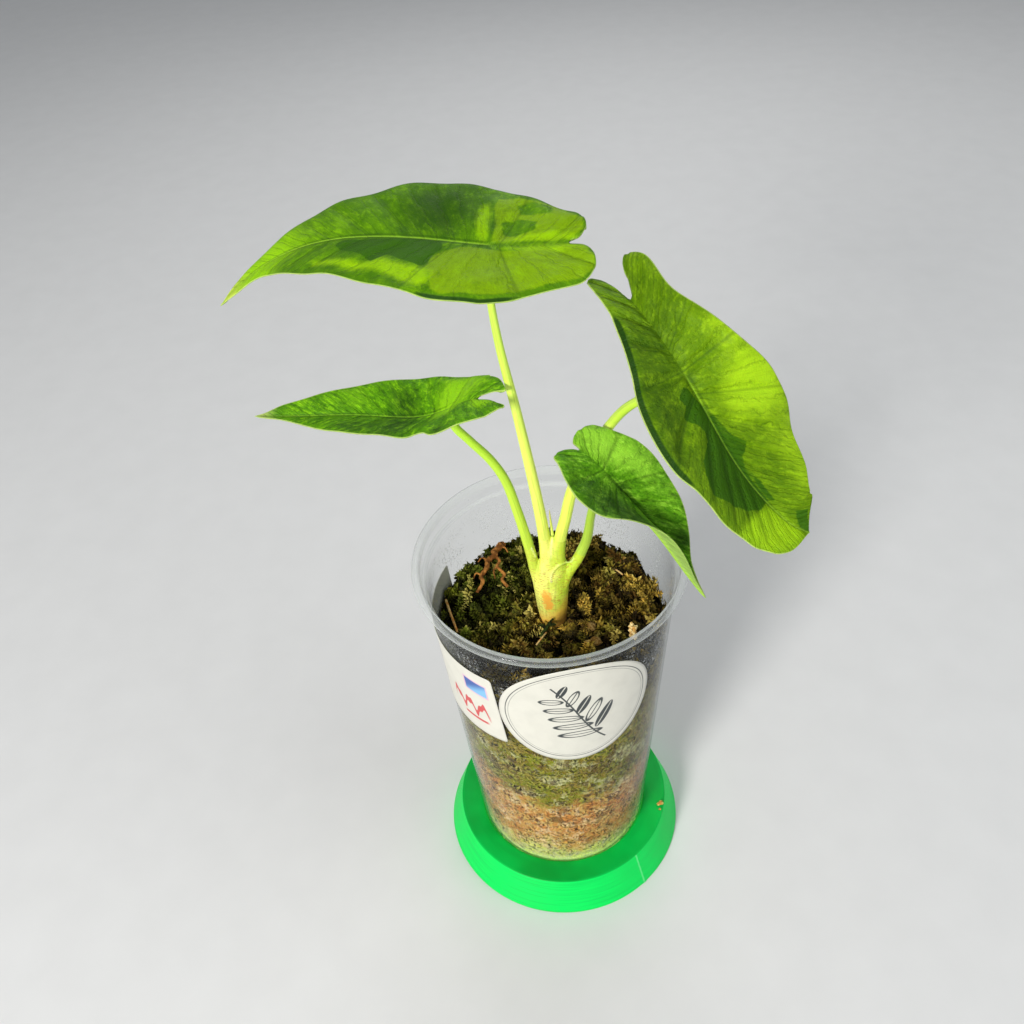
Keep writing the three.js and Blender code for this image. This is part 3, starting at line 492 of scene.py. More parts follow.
def turned(profile, segments):
    """Points and faces of a profile of (radius, height) pairs turned about the Z axis."""
    angles = np.linspace(0, 2 * math.pi, segments, endpoint=False)
    rings = []
    for radius, height in profile:
        ring = np.stack([radius * np.cos(angles), radius * np.sin(angles), np.full(segments, height)], 1)
        rings.append(ring)
    return np.concatenate(rings), bands(segments, len(rings))


def joined(parts):
    """Several (points, faces) pairs as one."""
    points = []
    faces = []
    start = 0
    for part_points, part_faces in parts:
        points.append(part_points)
        faces.extend(tuple(start + k for k in face) for face in part_faces)
        start += len(part_points)
    return np.concatenate(points), faces


def make_piece(name, points, faces, finish, weld=0.0, readings=None, even=True):
    """A smooth mesh object from millimetre points. readings are values for the finish, one a point."""
    mesh = bpy.data.meshes.new(name)
    mesh.from_pydata((np.asarray(points) * MM).tolist(), [], faces)
    for reading, values in (readings or {}).items():
        attribute = mesh.attributes.new(reading, "FLOAT_VECTOR", "POINT")
        attribute.data.foreach_set("vector", np.asarray(values, np.float32).ravel())
    if weld or even:
        work = bmesh.new()
        work.from_mesh(mesh)
        if weld:
            bmesh.ops.remove_doubles(work, verts=work.verts, dist=weld * MM)
        if even:
            bmesh.ops.recalc_face_normals(work, faces=work.faces)
        work.to_mesh(mesh)
        work.free()
    mesh.polygons.foreach_set("use_smooth", [True] * len(mesh.polygons))
    mesh.materials.append(finish)
    piece = bpy.data.objects.new(name, mesh)
    bpy.context.scene.collection.objects.link(piece)
    return piece


def settle(piece, slot, *nodes):
    """The piece rides on the pot and stands for its CAD nodes. Its slot is not used."""
    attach(piece, "root")
    if nodes:
        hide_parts(*nodes)


# Materials


class Wire:
    """A socket of a finish. Sums on it add Math nodes."""

    def __init__(self, finish, socket):
        self.finish = finish
        self.socket = socket

    def math(self, operation, *others):
        values = {k + 1: other for k, other in enumerate(others)}
        return self.finish.node("ShaderNodeMath", {"operation": operation}, {0: self, **values})

    def __add__(self, other):
        return self.math("ADD", other)

    __radd__ = __add__

    def __mul__(self, other):
        return self.math("MULTIPLY", other)

    __rmul__ = __mul__

    def __sub__(self, other):
        return self.math("SUBTRACT", other)

    def __rsub__(self, other):
        return self.finish.node("ShaderNodeMath", {"operation": "SUBTRACT"}, {0: other, 1: self})

    def __truediv__(self, other):
        return self.math("DIVIDE", other)

    def __pow__(self, other):
        return self.math("POWER", other)

    def __neg__(self):
        return self * -1

    def __abs__(self):
        return self.math("ABSOLUTE")

    def sine(self):
        return self.math("SINE")

    def least(self, other):
        return self.math("MINIMUM", other)

    def most(self, other):
        return self.math("MAXIMUM", other)

    def pingpong(self, width):
        """Rises from 0 to width and falls back, over and over."""
        return self.math("PINGPONG", width)

    def fade(self, low, high):
        """0 at low, 1 at high and smooth between them."""
        sockets = {"Value": self, "From Min": low, "From Max": high}
        return self.finish.node("ShaderNodeMapRange", {"interpolation_type": "SMOOTHSTEP"}, sockets)


class Finish:
    """A material whose nodes are added by short calls."""

    def __init__(self, name, **constants):
        self.material = bpy.data.materials.new(name)
        self.material.use_nodes = True
        self.tree = self.material.node_tree
        self.tree.nodes.clear()
        self.output = self.tree.nodes.new("ShaderNodeOutputMaterial")
        self.shader = self.tree.nodes.new("ShaderNodeBsdfPrincipled")
        self.tree.links.new(self.shader.outputs[0], self.output.inputs["Surface"])
        self.shade = None
        for socket, value in constants.items():
            self.set(socket.replace("_", " "), value)

    def node(self, kind, settings=None, sockets=None, output=0):
        """Adds a node: its type, its settings, the values or links of its sockets, and what it gives."""
        node = self.tree.nodes.new(kind)
        for name, value in (settings or {}).items():
            setattr(node, name, value)
        for name, value in (sockets or {}).items():
            self.feed(node.inputs[name], value)
        return Wire(self, node.outputs[output])

    def feed(self, socket, value):
        if isinstance(value, Wire):
            self.tree.links.new(value.socket, socket)
        else:
            socket.default_value = value

    def set(self, name, value):
        self.feed(self.shader.inputs[name], value)

    def mix(self, share, first, second):
        """Two colours mixed: the first at 0 and the second at 1."""
        settings = {"data_type": "RGBA", "clamp_factor": True}
        return self.node("ShaderNodeMix", settings, {0: share, 6: first, 7: second}, 2)

    def lay(self, share, colour):
        """Lays a colour over what the surface has so far."""
        self.shade = self.mix(share, self.shade, colour)

    def parts(self, vector):
        return [self.node("ShaderNodeSeparateXYZ", None, {0: vector}, k) for k in range(3)]

    def reading(self, name):
        """The three values that the mesh carries under a name."""
        return self.parts(self.node("ShaderNodeAttribute", {"attribute_name": name}, output=1))

    def spot(self, stretch=(1, 1, 1), shift=(0, 0, 0)):
        """The place on the object in millimetres, stretched for long grain."""
        where = self.node("ShaderNodeTexCoord", output=3)
        scale = tuple(1000 * s for s in stretch)
        place = self.node("ShaderNodeVectorMath", {"operation": "MULTIPLY"}, {0: where, 1: scale})
        return self.node("ShaderNodeVectorMath", {"operation": "ADD"}, {0: place, 1: shift})

    def join(self, x, y, z=0.0):
        return self.node("ShaderNodeCombineXYZ", None, {0: x, 1: y, 2: z})

    def grain(self, place, size, detail=2.0, rough=0.5, twist=0.0):
        """Soft noise of 0 to 1 whose blotches are about size across."""
        sockets = {"Vector": place, "Scale": 1 / size, "Detail": detail}
        sockets |= {"Roughness": rough, "Distortion": twist}
        return self.node("ShaderNodeTexNoise", None, sockets)

    def cells(self, place, size):
        return self.node("ShaderNodeTexVoronoi", None, {"Vector": place, "Scale": 1 / size})

    def bump(self, height, depth, strength=1.0):
        """Relief of a height of 0 to 1 that is depth millimetres deep."""
        sockets = {"Strength": strength, "Distance": depth * MM, "Height": height}
        self.set("Normal", self.node("ShaderNodeBump", None, sockets))


# The stand


def stand_finish(colours):
    """Translucent printed plastic: fine layers up the side, and the top's wound lines, with painted light
    that makes the side lighter than the top.
    """
    finish = Finish("printed_green", Specular_IOR_Level=0.15, Subsurface_Weight=0.1)
    finish.set("Subsurface Radius", (0.15, 1.0, 0.45))
    finish.set("Subsurface Scale", 0.003)
    reach, around, z = finish.reading("place")
    side = 1 - z.fade(STAND["height"] - 0.5, STAND["height"] - 0.1)
    layers = (z * (2 * math.pi / 0.3)).sine() * 0.5 + 0.5
    winding = (reach * (2 * math.pi / 0.45)).sine() * 0.5 + 0.5
    soft = finish.grain(finish.spot(), 22, 2)
    streak = finish.grain(finish.join(around * 0.035, z * 1.6, reach * 0.3), 1, 3)
    finish.shade = finish.mix(soft.fade(0.3, 0.75) * 0.35, colours.stand, colours.stand_light_and_lit_side)
    # Painted light: the side is painted much lighter than the top.
    finish.lay(side * (streak.fade(0.3, 0.7) * 0.3 + 0.65), colours.stand_light_and_lit_side)
    finish.lay((1 - side) * 0.3 * streak.fade(0.45, 0.7), colours.stand_dark)
    finish.lay(layers * side * 0.12, colours.stand_dark)
    seam = (1 - abs(around / reach - 0.7).fade(0.003, 0.011)) * side
    finish.lay(seam * 0.35, (0.35, 1, 0.5, 1))
    finish.set("Base Color", finish.shade)
    finish.set("Roughness", streak * 0.2 + 0.3)
    finish.bump(layers * side + winding * (1 - side) * 0.5, 0.05, 0.9)
    return finish.material


def build_stand(sizes, colours):
    """The stand's turned body with softened edges and the printing seam down its side."""
    height = STAND["height"]
    foot, top = STAND["foot_radius"], STAND["top_radius"]
    floor = height - STAND["recess_depth"]
    mouth = wall_radius(height) + 0.06
    profile = [(0, 0), (foot - 1, 0), (foot - 0.5, 0.08), (foot - 0.1, 0.35), (foot, 0.7)]
    for k in range(1, 24):
        share = k / 24
        profile.append((foot + (top - foot) * share, 0.7 + (height - 1.3) * share))
    profile += [(top, height - 0.6), (top - 0.12, height - 0.25)]
    profile += [(top - 0.4, height - 0.05), (top - 0.8, height)]
    for k in range(1, 9):
        profile.append((top - 0.8 + (mouth + 0.6 - top + 0.8) * k / 9, height))
    profile += [(mouth + 0.5, height), (mouth + 0.15, height - 0.12), (mouth, height - 0.45)]
    profile += [(wall_radius(floor) + 0.35, floor + 0.3), (wall_radius(floor), floor), (0, floor)]
    points, faces = turned(profile, 240)
    turn = np.arctan2(points[:, 0], -points[:, 1])
    reach = np.hypot(points[:, 0], points[:, 1])
    seam = math.radians(40)
    near = np.exp(-(((turn - seam) * reach / 0.5) ** 2)) * (reach > mouth + 5) * (points[:, 2] > 0.3)
    bead = 1 + (0.32 + 0.2 * np.sin(points[:, 2] * 2.3)) * near / np.maximum(reach, 1)
    points[:, :2] *= bead[:, None]
    place = np.stack([reach, turn * reach, points[:, 2]], 1)
    finish = stand_finish(colours)
    piece = make_piece("printed_stand", points, faces, finish, weld=0.001, readings={"place": place})
    settle(piece, "stand", "stand")


# The cup


def wall_radius(z):
    """The outside radius of the cup's wall at a height, below the stacking step."""
    return CUP["floor_radius"] + CUP["slope"] * (z - CUP_FOOT)


def cup_finish(colours):
    """Thin clear plastic: light goes through, with edges that show as a painted grey reflection, painted
    highlights on the rolled bead and the stacking step, scuffs, and dried drops above the moss."""
    finish = Finish("clear_plastic", Roughness=0.1, Specular_IOR_Level=0.6)
    where = finish.spot()
    _, _, z = finish.parts(where)
    damp = z.fade(MOSS["top"] - 4, MOSS["top"] + 4) * (1 - z.fade(139, CUP["step_height"] + 2))
    patch = finish.grain(where, 9, 3, 0.6)
    drops = 1 - finish.cells(where, 1.5).fade(0.16, 0.34)
    fine = 1 - finish.cells(finish.spot(shift=(3, 7, 1)), 0.7).fade(0.15, 0.4)
    beads = drops * patch.fade(0.47, 0.6) + fine * patch.fade(0.4, 0.55) * 0.6
    smear = finish.grain(finish.spot((0.5, 0.5, 0.07)), 1, 4, 0.6).fade(0.55, 0.75)
    specks = (1 - finish.cells(finish.spot(shift=(9, 1, 4)), 4.5).fade(0.03, 0.09)) * 0.6
    clear = finish.node("ShaderNodeBsdfTransparent", None, {"Color": (0.975, 0.98, 0.977, 1)})
    facing = finish.node("ShaderNodeLayerWeight", None, {"Blend": 0.5}, 1)
    rim = z.fade(CUP["rim_top"] - CUP["bead_height"] - 0.4, CUP["rim_top"] - CUP["bead_height"] + 0.4)
    step = 1 - abs(z - CUP["step_height"] - 0.6).fade(0.3, 0.9)
    # Painted light: the grazing edges take some pale colour as a painted reflection, and the rolled bead and
    # the stacking step take a painted highlight. The drops, smears and specks are real marks.
    marks = beads.least(1) * damp * 0.4 + smear * 0.015 + facing ** 6 * 0.25
    marks = (marks + rim * (facing ** 2 * 0.5 + 0.1) + step * 0.16).most(specks * 0.4)
    cover = (marks + 0.025 + facing ** 5 * 0.55).least(0.9)
    plastic = finish.mix((marks / cover).least(1), (0.012, 0.013, 0.012, 1), colours.cup)
    finish.set("Base Color", plastic)
    body = Wire(finish, finish.shader.outputs[0])
    blend = finish.node("ShaderNodeMixShader", None, {0: cover, 1: clear, 2: body})
    finish.feed(finish.output.inputs["Surface"], blend)
    return finish.material


def cup_profile():
    """The cup's outline: up the outside, over the rolled bead and down the inside."""
    wall, foot = CUP["wall"], wall_radius(CUP_FOOT)
    floor = CUP_FOOT + CUP["floor_lift"]
    step_height, step = CUP["step_height"], wall_radius(CUP["step_height"])
    bead_middle = CUP["rim_top"] - CUP["bead_height"] / 2
    collar = CUP["rim_radius"] - CUP["bead_width"] + wall
    out = [(0, floor), (foot - 6, floor), (foot - CUP["foot_ring"] - 1, floor - 0.1)]
    out += [(foot - CUP["foot_ring"] - 0.4, floor - 0.8), (foot - CUP["foot_ring"], CUP_FOOT + 0.15)]
    out += [(foot - CUP["foot_ring"] + 0.3, CUP_FOOT), (foot - 0.8, CUP_FOOT), (foot - 0.3, CUP_FOOT + 0.1)]
    out += [(wall_radius(CUP_FOOT + 0.6), CUP_FOOT + 0.6)]
    for k in range(1, 30):
        z = CUP_FOOT + 0.6 + (step_height - CUP_FOOT - 0.6) * k / 30
        out.append((wall_radius(z), z))
    out += [(step, step_height), (step + 0.12, step_height + 0.3), (step + 0.5, step_height + 0.62)]
    out += [(step + 0.75, step_height + 0.95), (step + CUP["step_out"] + 0.15, step_height + 1.4)]
    out += [(collar, bead_middle - CUP["bead_height"] / 2)]
    for k in range(17):
        a = -math.pi / 2 + math.pi * 1.3 * k / 16
        x = CUP["rim_radius"] - CUP["bead_width"] / 2 + CUP["bead_width"] / 2 * math.cos(a)
        out.append((x, bead_middle + CUP["bead_height"] / 2 * math.sin(a)))
    out += [(collar - wall, bead_middle - CUP["bead_height"] / 2)]
    out += [(step + CUP["step_out"] - wall + 0.1, step_height + 1.5), (step + 0.45 - wall, step_height + 0.8)]
    out += [(step - wall, step_height + 0.2)]
    for k in range(1, 30):
        z = step_height + 0.2 + (floor + 3 - step_height - 0.2) * k / 30
        out.append((wall_radius(z) - wall, z))
    out += [(wall_radius(floor + 3) - wall, floor + 3), (foot - CUP["foot_ring"] + 0.3, floor + wall + 0.9)]
    out += [(foot - CUP["foot_ring"] - 1, floor + wall), (0, floor + wall)]
    return out


def build_cup(sizes, colours):
    """The clear cup with its stacking step and rolled bead."""
    points, faces = turned(cup_profile(), 216)
    piece = make_piece("clear_cup", points, faces, cup_finish(colours), weld=0.001)
    settle(piece, "cup", "cup")


# The labels


def round_label_finish(colours):
    """Glossy paper with a thin double ring and a plain fern frond in ink."""
    finish = Finish("round_label_paper", Roughness=0.35, Specular_IOR_Level=0.4)
    x, y, outer = finish.reading("flat")
    radius = (x * x + y * y) ** 0.5
    edge = ROUND_LABEL["diameter"] / 2
    ring = 1 - abs(radius - (edge - 2.3)).fade(0.08, 0.24)
    thin = 1 - abs(radius - (edge - 3.3)).fade(0.03, 0.16)
    turn = math.radians(-32)
    u = x * math.cos(turn) - y * math.sin(turn)
    v = x * math.sin(turn) + y * math.cos(turn)
    ink = ring.most(thin * 0.6)
    ink = ink.most((1 - abs(u - (v * 0.11).sine() * 1.5).fade(0.22, 0.42)) * (1 - abs(v).fade(19.5, 20)))
    for k in range(10):
        side = 1 if k % 2 else -1
        row = -14 + 3.1 * k
        long = 7.6 - 0.44 * k
        lean = math.radians(34)
        du = (u - side * long * 0.95 * math.cos(lean) - 0.2) * side
        dv = v - row - long * 0.95 * math.sin(lean)
        p = du * math.cos(lean) + dv * math.sin(lean)
        q = dv * math.cos(lean) - du * math.sin(lean)
        oval = ((p / long) ** 2 + (q / (1.2 + 0.08 * long)) ** 2)
        rim = 1 - abs(oval - 0.88).fade(0.12, 0.34)
        rib = (1 - abs(q).fade(0.1, 0.28)) * (1 - oval.fade(0.75, 0.95))
        ink = ink.most(1 - oval.fade(0.9, 1.08) - rib * 0.9 if k in (1, 5, 9) else rim.most(rib))
    paper = finish.grain(finish.join(x, y), 0.5, 3)
    crease = finish.grain(finish.join(x, y), 7, 3)
    base = finish.mix(crease.fade(0.35, 0.75) * 0.3, colours.paper, colours.paper_worn)
    finish.set("Base Color", finish.mix(ink.least(1) * outer * 0.97, base, colours.ink))
    finish.bump(paper * 0.15 + crease, 0.25, 0.6)
    return finish.material


def price_label_finish(colours):
    """Matt paper with a shaded blue block edged in pink and loose red pen strokes."""
    finish = Finish("price_label_paper", Roughness=0.5, Specular_IOR_Level=0.3)
    x, y, outer = finish.reading("flat")
    paper = finish.grain(finish.join(x, y), 0.4, 3)
    crease = finish.grain(finish.join(x, y), 8, 3)
    base = finish.mix(crease.fade(0.35, 0.75) * 0.3, colours.paper, colours.paper_worn)
    bx, by = abs(x - 23.6), abs(y - 9.8)
    block = (1 - bx.fade(4.6, 4.9)) * (1 - by.fade(3.0, 3.3))
    border = (1 - bx.fade(5.2, 5.5)) * (1 - by.fade(3.7, 4.0)) * (1 - block)
    blue = finish.mix((y * 0.2 - x * 0.12 + 1.4).fade(0, 1), colours.print_sky, colours.print_blue)
    shade = finish.mix(border * outer * 0.6, base, (0.72, 0.3, 0.55, 1))
    shade = finish.mix(block * outer * 0.95, shade, blue)
    wave = y + 3.6 + (x * 0.95).sine() * 2.6 + (x * 2.1 + 1).sine() * 1.1
    pen = (1 - abs(wave).fade(1.5, 2.1)) * x.fade(9, 10.5) * (1 - x.fade(26.5, 28))
    rule = (1 - abs(y + 10.6 - (x - 20) * 0.1).fade(0.5, 0.9)) * x.fade(14, 15) * (1 - x.fade(25, 27))
    finish.set("Base Color", finish.mix(pen.most(rule) * outer * 0.9, shade, colours.pen))
    finish.bump(paper * 0.15 + crease, 0.25, 0.6)
    return finish.material


def wrap_label(flat, label):
    """Flat points, across and up from a label's middle, laid on the cup's wall."""
    lean = math.atan(CUP["slope"])
    reach = wall_radius(label["middle"]) / math.sin(lean)
    out = []
    for x, y in flat:
        around = math.radians(label["turn"]) + math.atan2(x, reach + y) / math.sin(lean)
        z = label["middle"] + (math.hypot(x, reach + y) - reach) * math.cos(lean)
        r = wall_radius(z)
        out.append((r * math.sin(around), -r * math.cos(around), z))
    return np.array(out)


def label_piece(name, label, flat, faces, finish, rim):
    """A thin paper sheet against the wall. rim gives how near to the edge a flat point is. The
    reading "flat" holds a point's place on the sheet, and 1 on its outer side."""
    count = len(flat)
    curl = np.array([max(0.0, 1 - rim(x, y) / 1.2) for x, y in flat])
    low = wrap_label(flat, label)
    outward = low.copy()
    outward[:, 2] = 0
    outward /= np.linalg.norm(outward, axis=1)[:, None]
    under = low + outward * (0.04 + 0.12 * curl**2)[:, None]
    over = low + outward * (0.2 + 0.1 * curl**2)[:, None]
    both = list(faces) + [tuple(k + count for k in face[::-1]) for face in faces]
    edges = {}
    for face in faces:
        for k, a in enumerate(face):
            edges[(a, face[(k + 1) % len(face)])] = True
    for a, b in edges:
        if (b, a) not in edges:
            both.append((b, a, a + count, b + count))
    readings = np.zeros((2 * count, 3))
    readings[:, :2] = flat + flat
    readings[:count, 2] = 1
    return make_piece(name, np.concatenate([over, under]), both, finish, readings={"flat": readings})


def disc(edge, rings, sides):
    """Flat points and faces of a disc, its rings closer together at the edge."""
    flat = [(0.0, 0.0)]
    faces = []
    for j in range(1, rings + 1):
        r = edge * (j / rings) ** 0.8
        for k in range(sides):
            a = 2 * math.pi * k / sides
            flat.append((r * math.cos(a), r * math.sin(a)))
            here = 1 + (j - 1) * sides + k
            after = 1 + (j - 1) * sides + (k + 1) % sides
            faces.append((0, here, after) if j == 1 else (here - sides, here, after, after - sides))
    return flat, faces


def rounded_sheet(width, height, corner, columns, rows):
    """Flat points and faces of a sheet with round corners."""
    flat = []
    for j in range(rows + 1):
        for k in range(columns + 1):
            x = width * (k / columns - 0.5)
            y = height * (j / rows - 0.5)
            over_x = abs(x) - (width / 2 - corner)
            over_y = abs(y) - (height / 2 - corner)
            if over_x > 0 and over_y > 0:
                reach = max(over_x, over_y) / math.hypot(over_x, over_y)
                x -= math.copysign(over_x * (1 - reach), x)
                y -= math.copysign(over_y * (1 - reach), y)
            flat.append((x, y))
    faces = []
    for j in range(rows):
        for k in range(columns):
            a = j * (columns + 1) + k
            faces.append((a, a + 1, a + columns + 2, a + columns + 1))
    return flat, faces


def build_labels(sizes, colours):
    """The round label and the price label on the cup."""
    edge = ROUND_LABEL["diameter"] / 2
    flat, faces = disc(edge, 22, 96)
    finish = round_label_finish(colours)
    piece = label_piece(
        "round_paper_label", ROUND_LABEL, flat, faces, finish, lambda x, y: edge - math.hypot(x, y)
    )
    settle(piece, "round_label", "round_label")

    width, height = PRICE_LABEL["width"], PRICE_LABEL["height"]
    tilt = math.radians(PRICE_LABEL["tilt"])
    flat, faces = rounded_sheet(width, height, PRICE_LABEL["corner"], 60, 36)
    c, s = math.cos(tilt), math.sin(tilt)
    flat = [(x * c - y * s, x * s + y * c) for x, y in flat]
    finish = price_label_finish(colours)
    piece = label_piece(
        "price_paper_label", PRICE_LABEL, flat, faces, finish,
        lambda x, y: min(width / 2 - abs(x), height / 2 - abs(y)),
    )
    settle(piece, "price_label", "price_label")


# The moss


def lumps(x, y):
    """Soft lumps over the plane, about -1 to 1."""
    a = np.sin(x * 0.31 + 1.3 * np.sin(y * 0.17)) * np.cos(y * 0.27 + 0.8)
    b = np.sin(x * 0.13 - y * 0.21 + 2.1) * 0.7
    c = np.cos(x * 0.52 + y * 0.44) * np.sin(y * 0.61 - x * 0.2) * 0.45
    return (a + b + c) / 1.6


def moss_height(x, y):
    """The height of the moss over a place inside the cup."""
    r = np.hypot(x, y)
    top = wall_radius(MOSS["top"])
    share = np.minimum(r / top, 1)
    calm = ease(r, 4, 13)
    rise = MOSS["wall_lift"] * share**3 + MOSS["back_lift"] * y * share / top
    return MOSS["top"] - 1 + rise + MOSS["lumps"] * lumps(x, y) * calm


def side_gap(turn, z):
    """How far the moss's side stands off the wall."""
    a = np.sin(3 * turn + z * 0.09) * np.cos(z * 0.13 - 2 * turn)
    return FIT + MOSS["side_dents"] * (a + 1) / 2


def cushions(points, size):
    """Rounded cushions with creases between them: 1 on top of one and about 0 in a crease."""
    out = []
    for x, y, z in np.asarray(points) / size:
        bent = (x + 0.35 * math.sin(2.1 * y + z), y + 0.35 * math.sin(1.9 * x - z), z)
        near, far = noise.voronoi(bent)[0][:2]
        out.append(1 - near / max(far, 1e-6))
    return np.sqrt(np.clip(np.array(out), 0, 1))


def moss_colour(finish, colours, where, top, tone):
    """Brown, olive and gold on top; against the wall, grey-green over olive over rusty brown over
    pale green. top is 1 on the upper side and 0 against the wall, and tone varies from tuft to tuft."""
    x, y, z = finish.parts(where)
    wide = finish.grain(where, 15, 3, 0.6)
    mid = finish.grain(where, 4, 3, 0.6)
    fine = finish.grain(where, 1.3, 3, 0.7)
    mixed = tone * 0.5 + mid * 0.5
    over = finish.mix(mixed.fade(0.34, 0.58), colours.moss_brown, colours.moss_olive)
    gold = (wide + (x - y) * 0.0025 + (tone - 0.5) * 0.12).fade(0.45, 0.58) * mixed.fade(0.42, 0.62)
    over = finish.mix(gold, over, colours.moss_gold)
    back = (y * 0.7 - x + mid * 30 - 15).fade(10, 30)
    over = finish.mix(back * 0.75, over, colours.moss_green)
    # The lightest clumps: partly pale leaves, partly a painted highlight.
    over = finish.mix(tone.fade(0.74, 0.95) * 0.6, over, colours.moss_light_and_highlight)
    patch = finish.mix(mixed.fade(0.38, 0.58), colours.side_olive, colours.side_green)
    gap = finish.grain(finish.spot(shift=(31, 5, 9)), 6.5, 4, 0.62)
    haze = finish.grain(finish.spot(shift=(2, 44, 7)), 11, 3, 0.6)
    patch = finish.mix((haze * 0.7 + fine * 0.3).fade(0.5, 0.6) * 0.75, patch, colours.side_white)
    patch = finish.mix(gap.fade(0.52, 0.62) * 0.75, patch, colours.side_brown)
    high = finish.mix(mid.fade(0.38, 0.62), colours.moss_dark_and_hollow_shade, colours.side_olive)
    rust = finish.mix(mixed.fade(0.35, 0.62), colours.side_rust, colours.side_tan)
    rust = finish.mix((haze * 0.4 + mid * 0.3 + fine * 0.3).fade(0.5, 0.6), rust, colours.side_pink)
    rust = finish.mix(gap.fade(0.54, 0.64) * 0.7, rust, colours.side_brown)
    low = finish.mix(mixed.fade(0.35, 0.65), colours.side_pale, colours.side_white)
    height = z + (wide - 0.5) * 30 + (mid - 0.5) * 12
    beside = finish.mix(height.fade(20, 32), low, rust)
    beside = finish.mix(height.fade(57, 70), beside, patch)
    beside = finish.mix(height.fade(98, 116), beside, high)
    return finish.mix(top, beside, over), fine


def foot_glow(finish, where):
    """A painted glow: emission that stands in for the light that comes through the stand to the lowest moss.
    """
    _, _, z = finish.parts(where)
    above = z.fade(STAND["height"] - 1, STAND["height"] + 3)
    return finish.mix(above, (0.3, 0.42, 0.12, 1), (0, 0, 0, 1))


def moss_finish(colours):
    """The bed between the tufts, with painted shade in its creases and hollows."""
    finish = Finish("moss_bed", Roughness=0.85, Specular_IOR_Level=0.1, Emission_Strength=1.0)
    where = finish.spot()
    depth, top, _ = finish.reading("depth")
    shade, fine = moss_colour(finish, colours, where, top, finish.grain(where, 1.8, 2))
    # Painted shade: the creases and hollows on top, and the gaps behind the wall at the side, darken to the
    # dark moss colour.
    hollow = depth.fade(0.2, 0.75).most((1 - top) * depth.fade(-0.2, 0.6))
    finish.set("Base Color", finish.mix(hollow, colours.moss_dark_and_hollow_shade, shade))
    # Painted glow on the lowest moss, for the light through the stand.
    finish.set("Emission Color", foot_glow(finish, where))
    finish.bump(fine + finish.grain(where, 0.6, 3, 0.7) * 0.6, 0.9, 1.0)
    return finish.material


def tuft_finish(colours):
    """Moss leaves: painted shade darkens them at their roots and in the hollows, and their tips are paler,
    partly their own colour and partly a painted highlight on tufts out of the hollows.
    """
    finish = Finish("moss_leaves", Roughness=0.7, Specular_IOR_Level=0.15, Emission_Strength=1.0)
    tone, top, along = finish.reading("tone")
    low, _, _ = finish.reading("depth")
    shade, fine = moss_colour(finish, colours, finish.spot(), top, tone)
    # Painted shade at the leaves' roots and in the hollows.
    shade = finish.mix((1 - along.fade(0.0, 0.6)) * 0.75, shade, colours.moss_dark_and_hollow_shade)
    shade = finish.mix((1 - low.fade(0.3, 0.8)) * 0.93, shade, colours.moss_dark_and_hollow_shade)
    # Paler tips out of the hollows: partly the leaves' own colour, partly a painted highlight.
    tips = along.fade(0.5, 1) * low.fade(0.45, 0.9) * (tone * 0.5 + 0.15)
    finish.set("Base Color", finish.mix(tips, shade, colours.moss_light_and_highlight))
    # Painted glow on the lowest moss, for the light through the stand.
    finish.set("Emission Color", foot_glow(finish, finish.spot()))
    finish.bump(fine, 0.2, 0.6)
    return finish.material


def bed_surface():
    """The moss bed's rings of points, and how far each point is out of a hollow, which sets the moss's
    painted shade.
    """
    sectors = BED["sectors"]
    angles = np.linspace(0, 2 * math.pi, sectors, endpoint=False)
    edge = wall_radius(MOSS["top"]) - CUP["wall"] - side_gap(angles, MOSS["top"])
    rows = []
    depth = []
    for j in range(BED["rings"] + 1):
        share = (j / BED["rings"]) ** BED["spread"]
        r = BED["hole"] + (edge - BED["hole"]) * share
        x, y = r * np.cos(angles), r * np.sin(angles)
        flat = np.stack([x, y, np.zeros(sectors)], 1)
        big, small = cushions(flat, 8.5), cushions(flat + 40, 3.2)
        calm = ease(r, BED["hole"], 8) * (0.5 + 0.5 * ease(edge - r, 0, 3))
        z = moss_height(x, y) + (8.0 * (big - 0.66) + 2.2 * (small - 0.6)) * calm
        rows.append(np.stack([x, y, z], 1))
        depth.append(np.stack([big * 0.9 + small * 0.4 - 0.4, np.ones(sectors), small], 1))
    top = rows[-1][:, 2]
    for j in range(1, BED["side_rings"] + 1):
        z = top + (MOSS_FLOOR - top) * j / BED["side_rings"]
        r = wall_radius(np.maximum(z, MOSS_FLOOR)) - CUP["wall"]
        flat = np.stack([r * np.cos(angles), r * np.sin(angles), z], 1)
        big, small = cushions(flat, 6.5), cushions(flat + 40, 2.2)
        close = 0.35 + 0.65 * ease(z, 16, 30)
        gap = 0.06 + (1.4 * (1 - big) ** 1.5 + 0.5 * (1 - small)) * close
        r = r - gap - (4.4 if j == BED["side_rings"] else 0)
        rows.append(np.stack([r * np.cos(angles), r * np.sin(angles), z], 1))
        depth.append(np.stack([1.15 - 0.62 * gap, np.zeros(sectors), small], 1))
    return rows, np.concatenate(depth)


def build_moss(sizes, colours):
    """The bed: lumpy cushions with painted shade in the creases on top, and pressed against the wall at the
    side.
    """
    rows, depth = bed_surface()
    points, faces = skin(rows)
    piece = make_piece("moss_bed", points, faces, moss_finish(colours), readings={"depth": depth})
    settle(piece, "moss", "moss")
    build_tufts(sizes, colours, rows, depth)


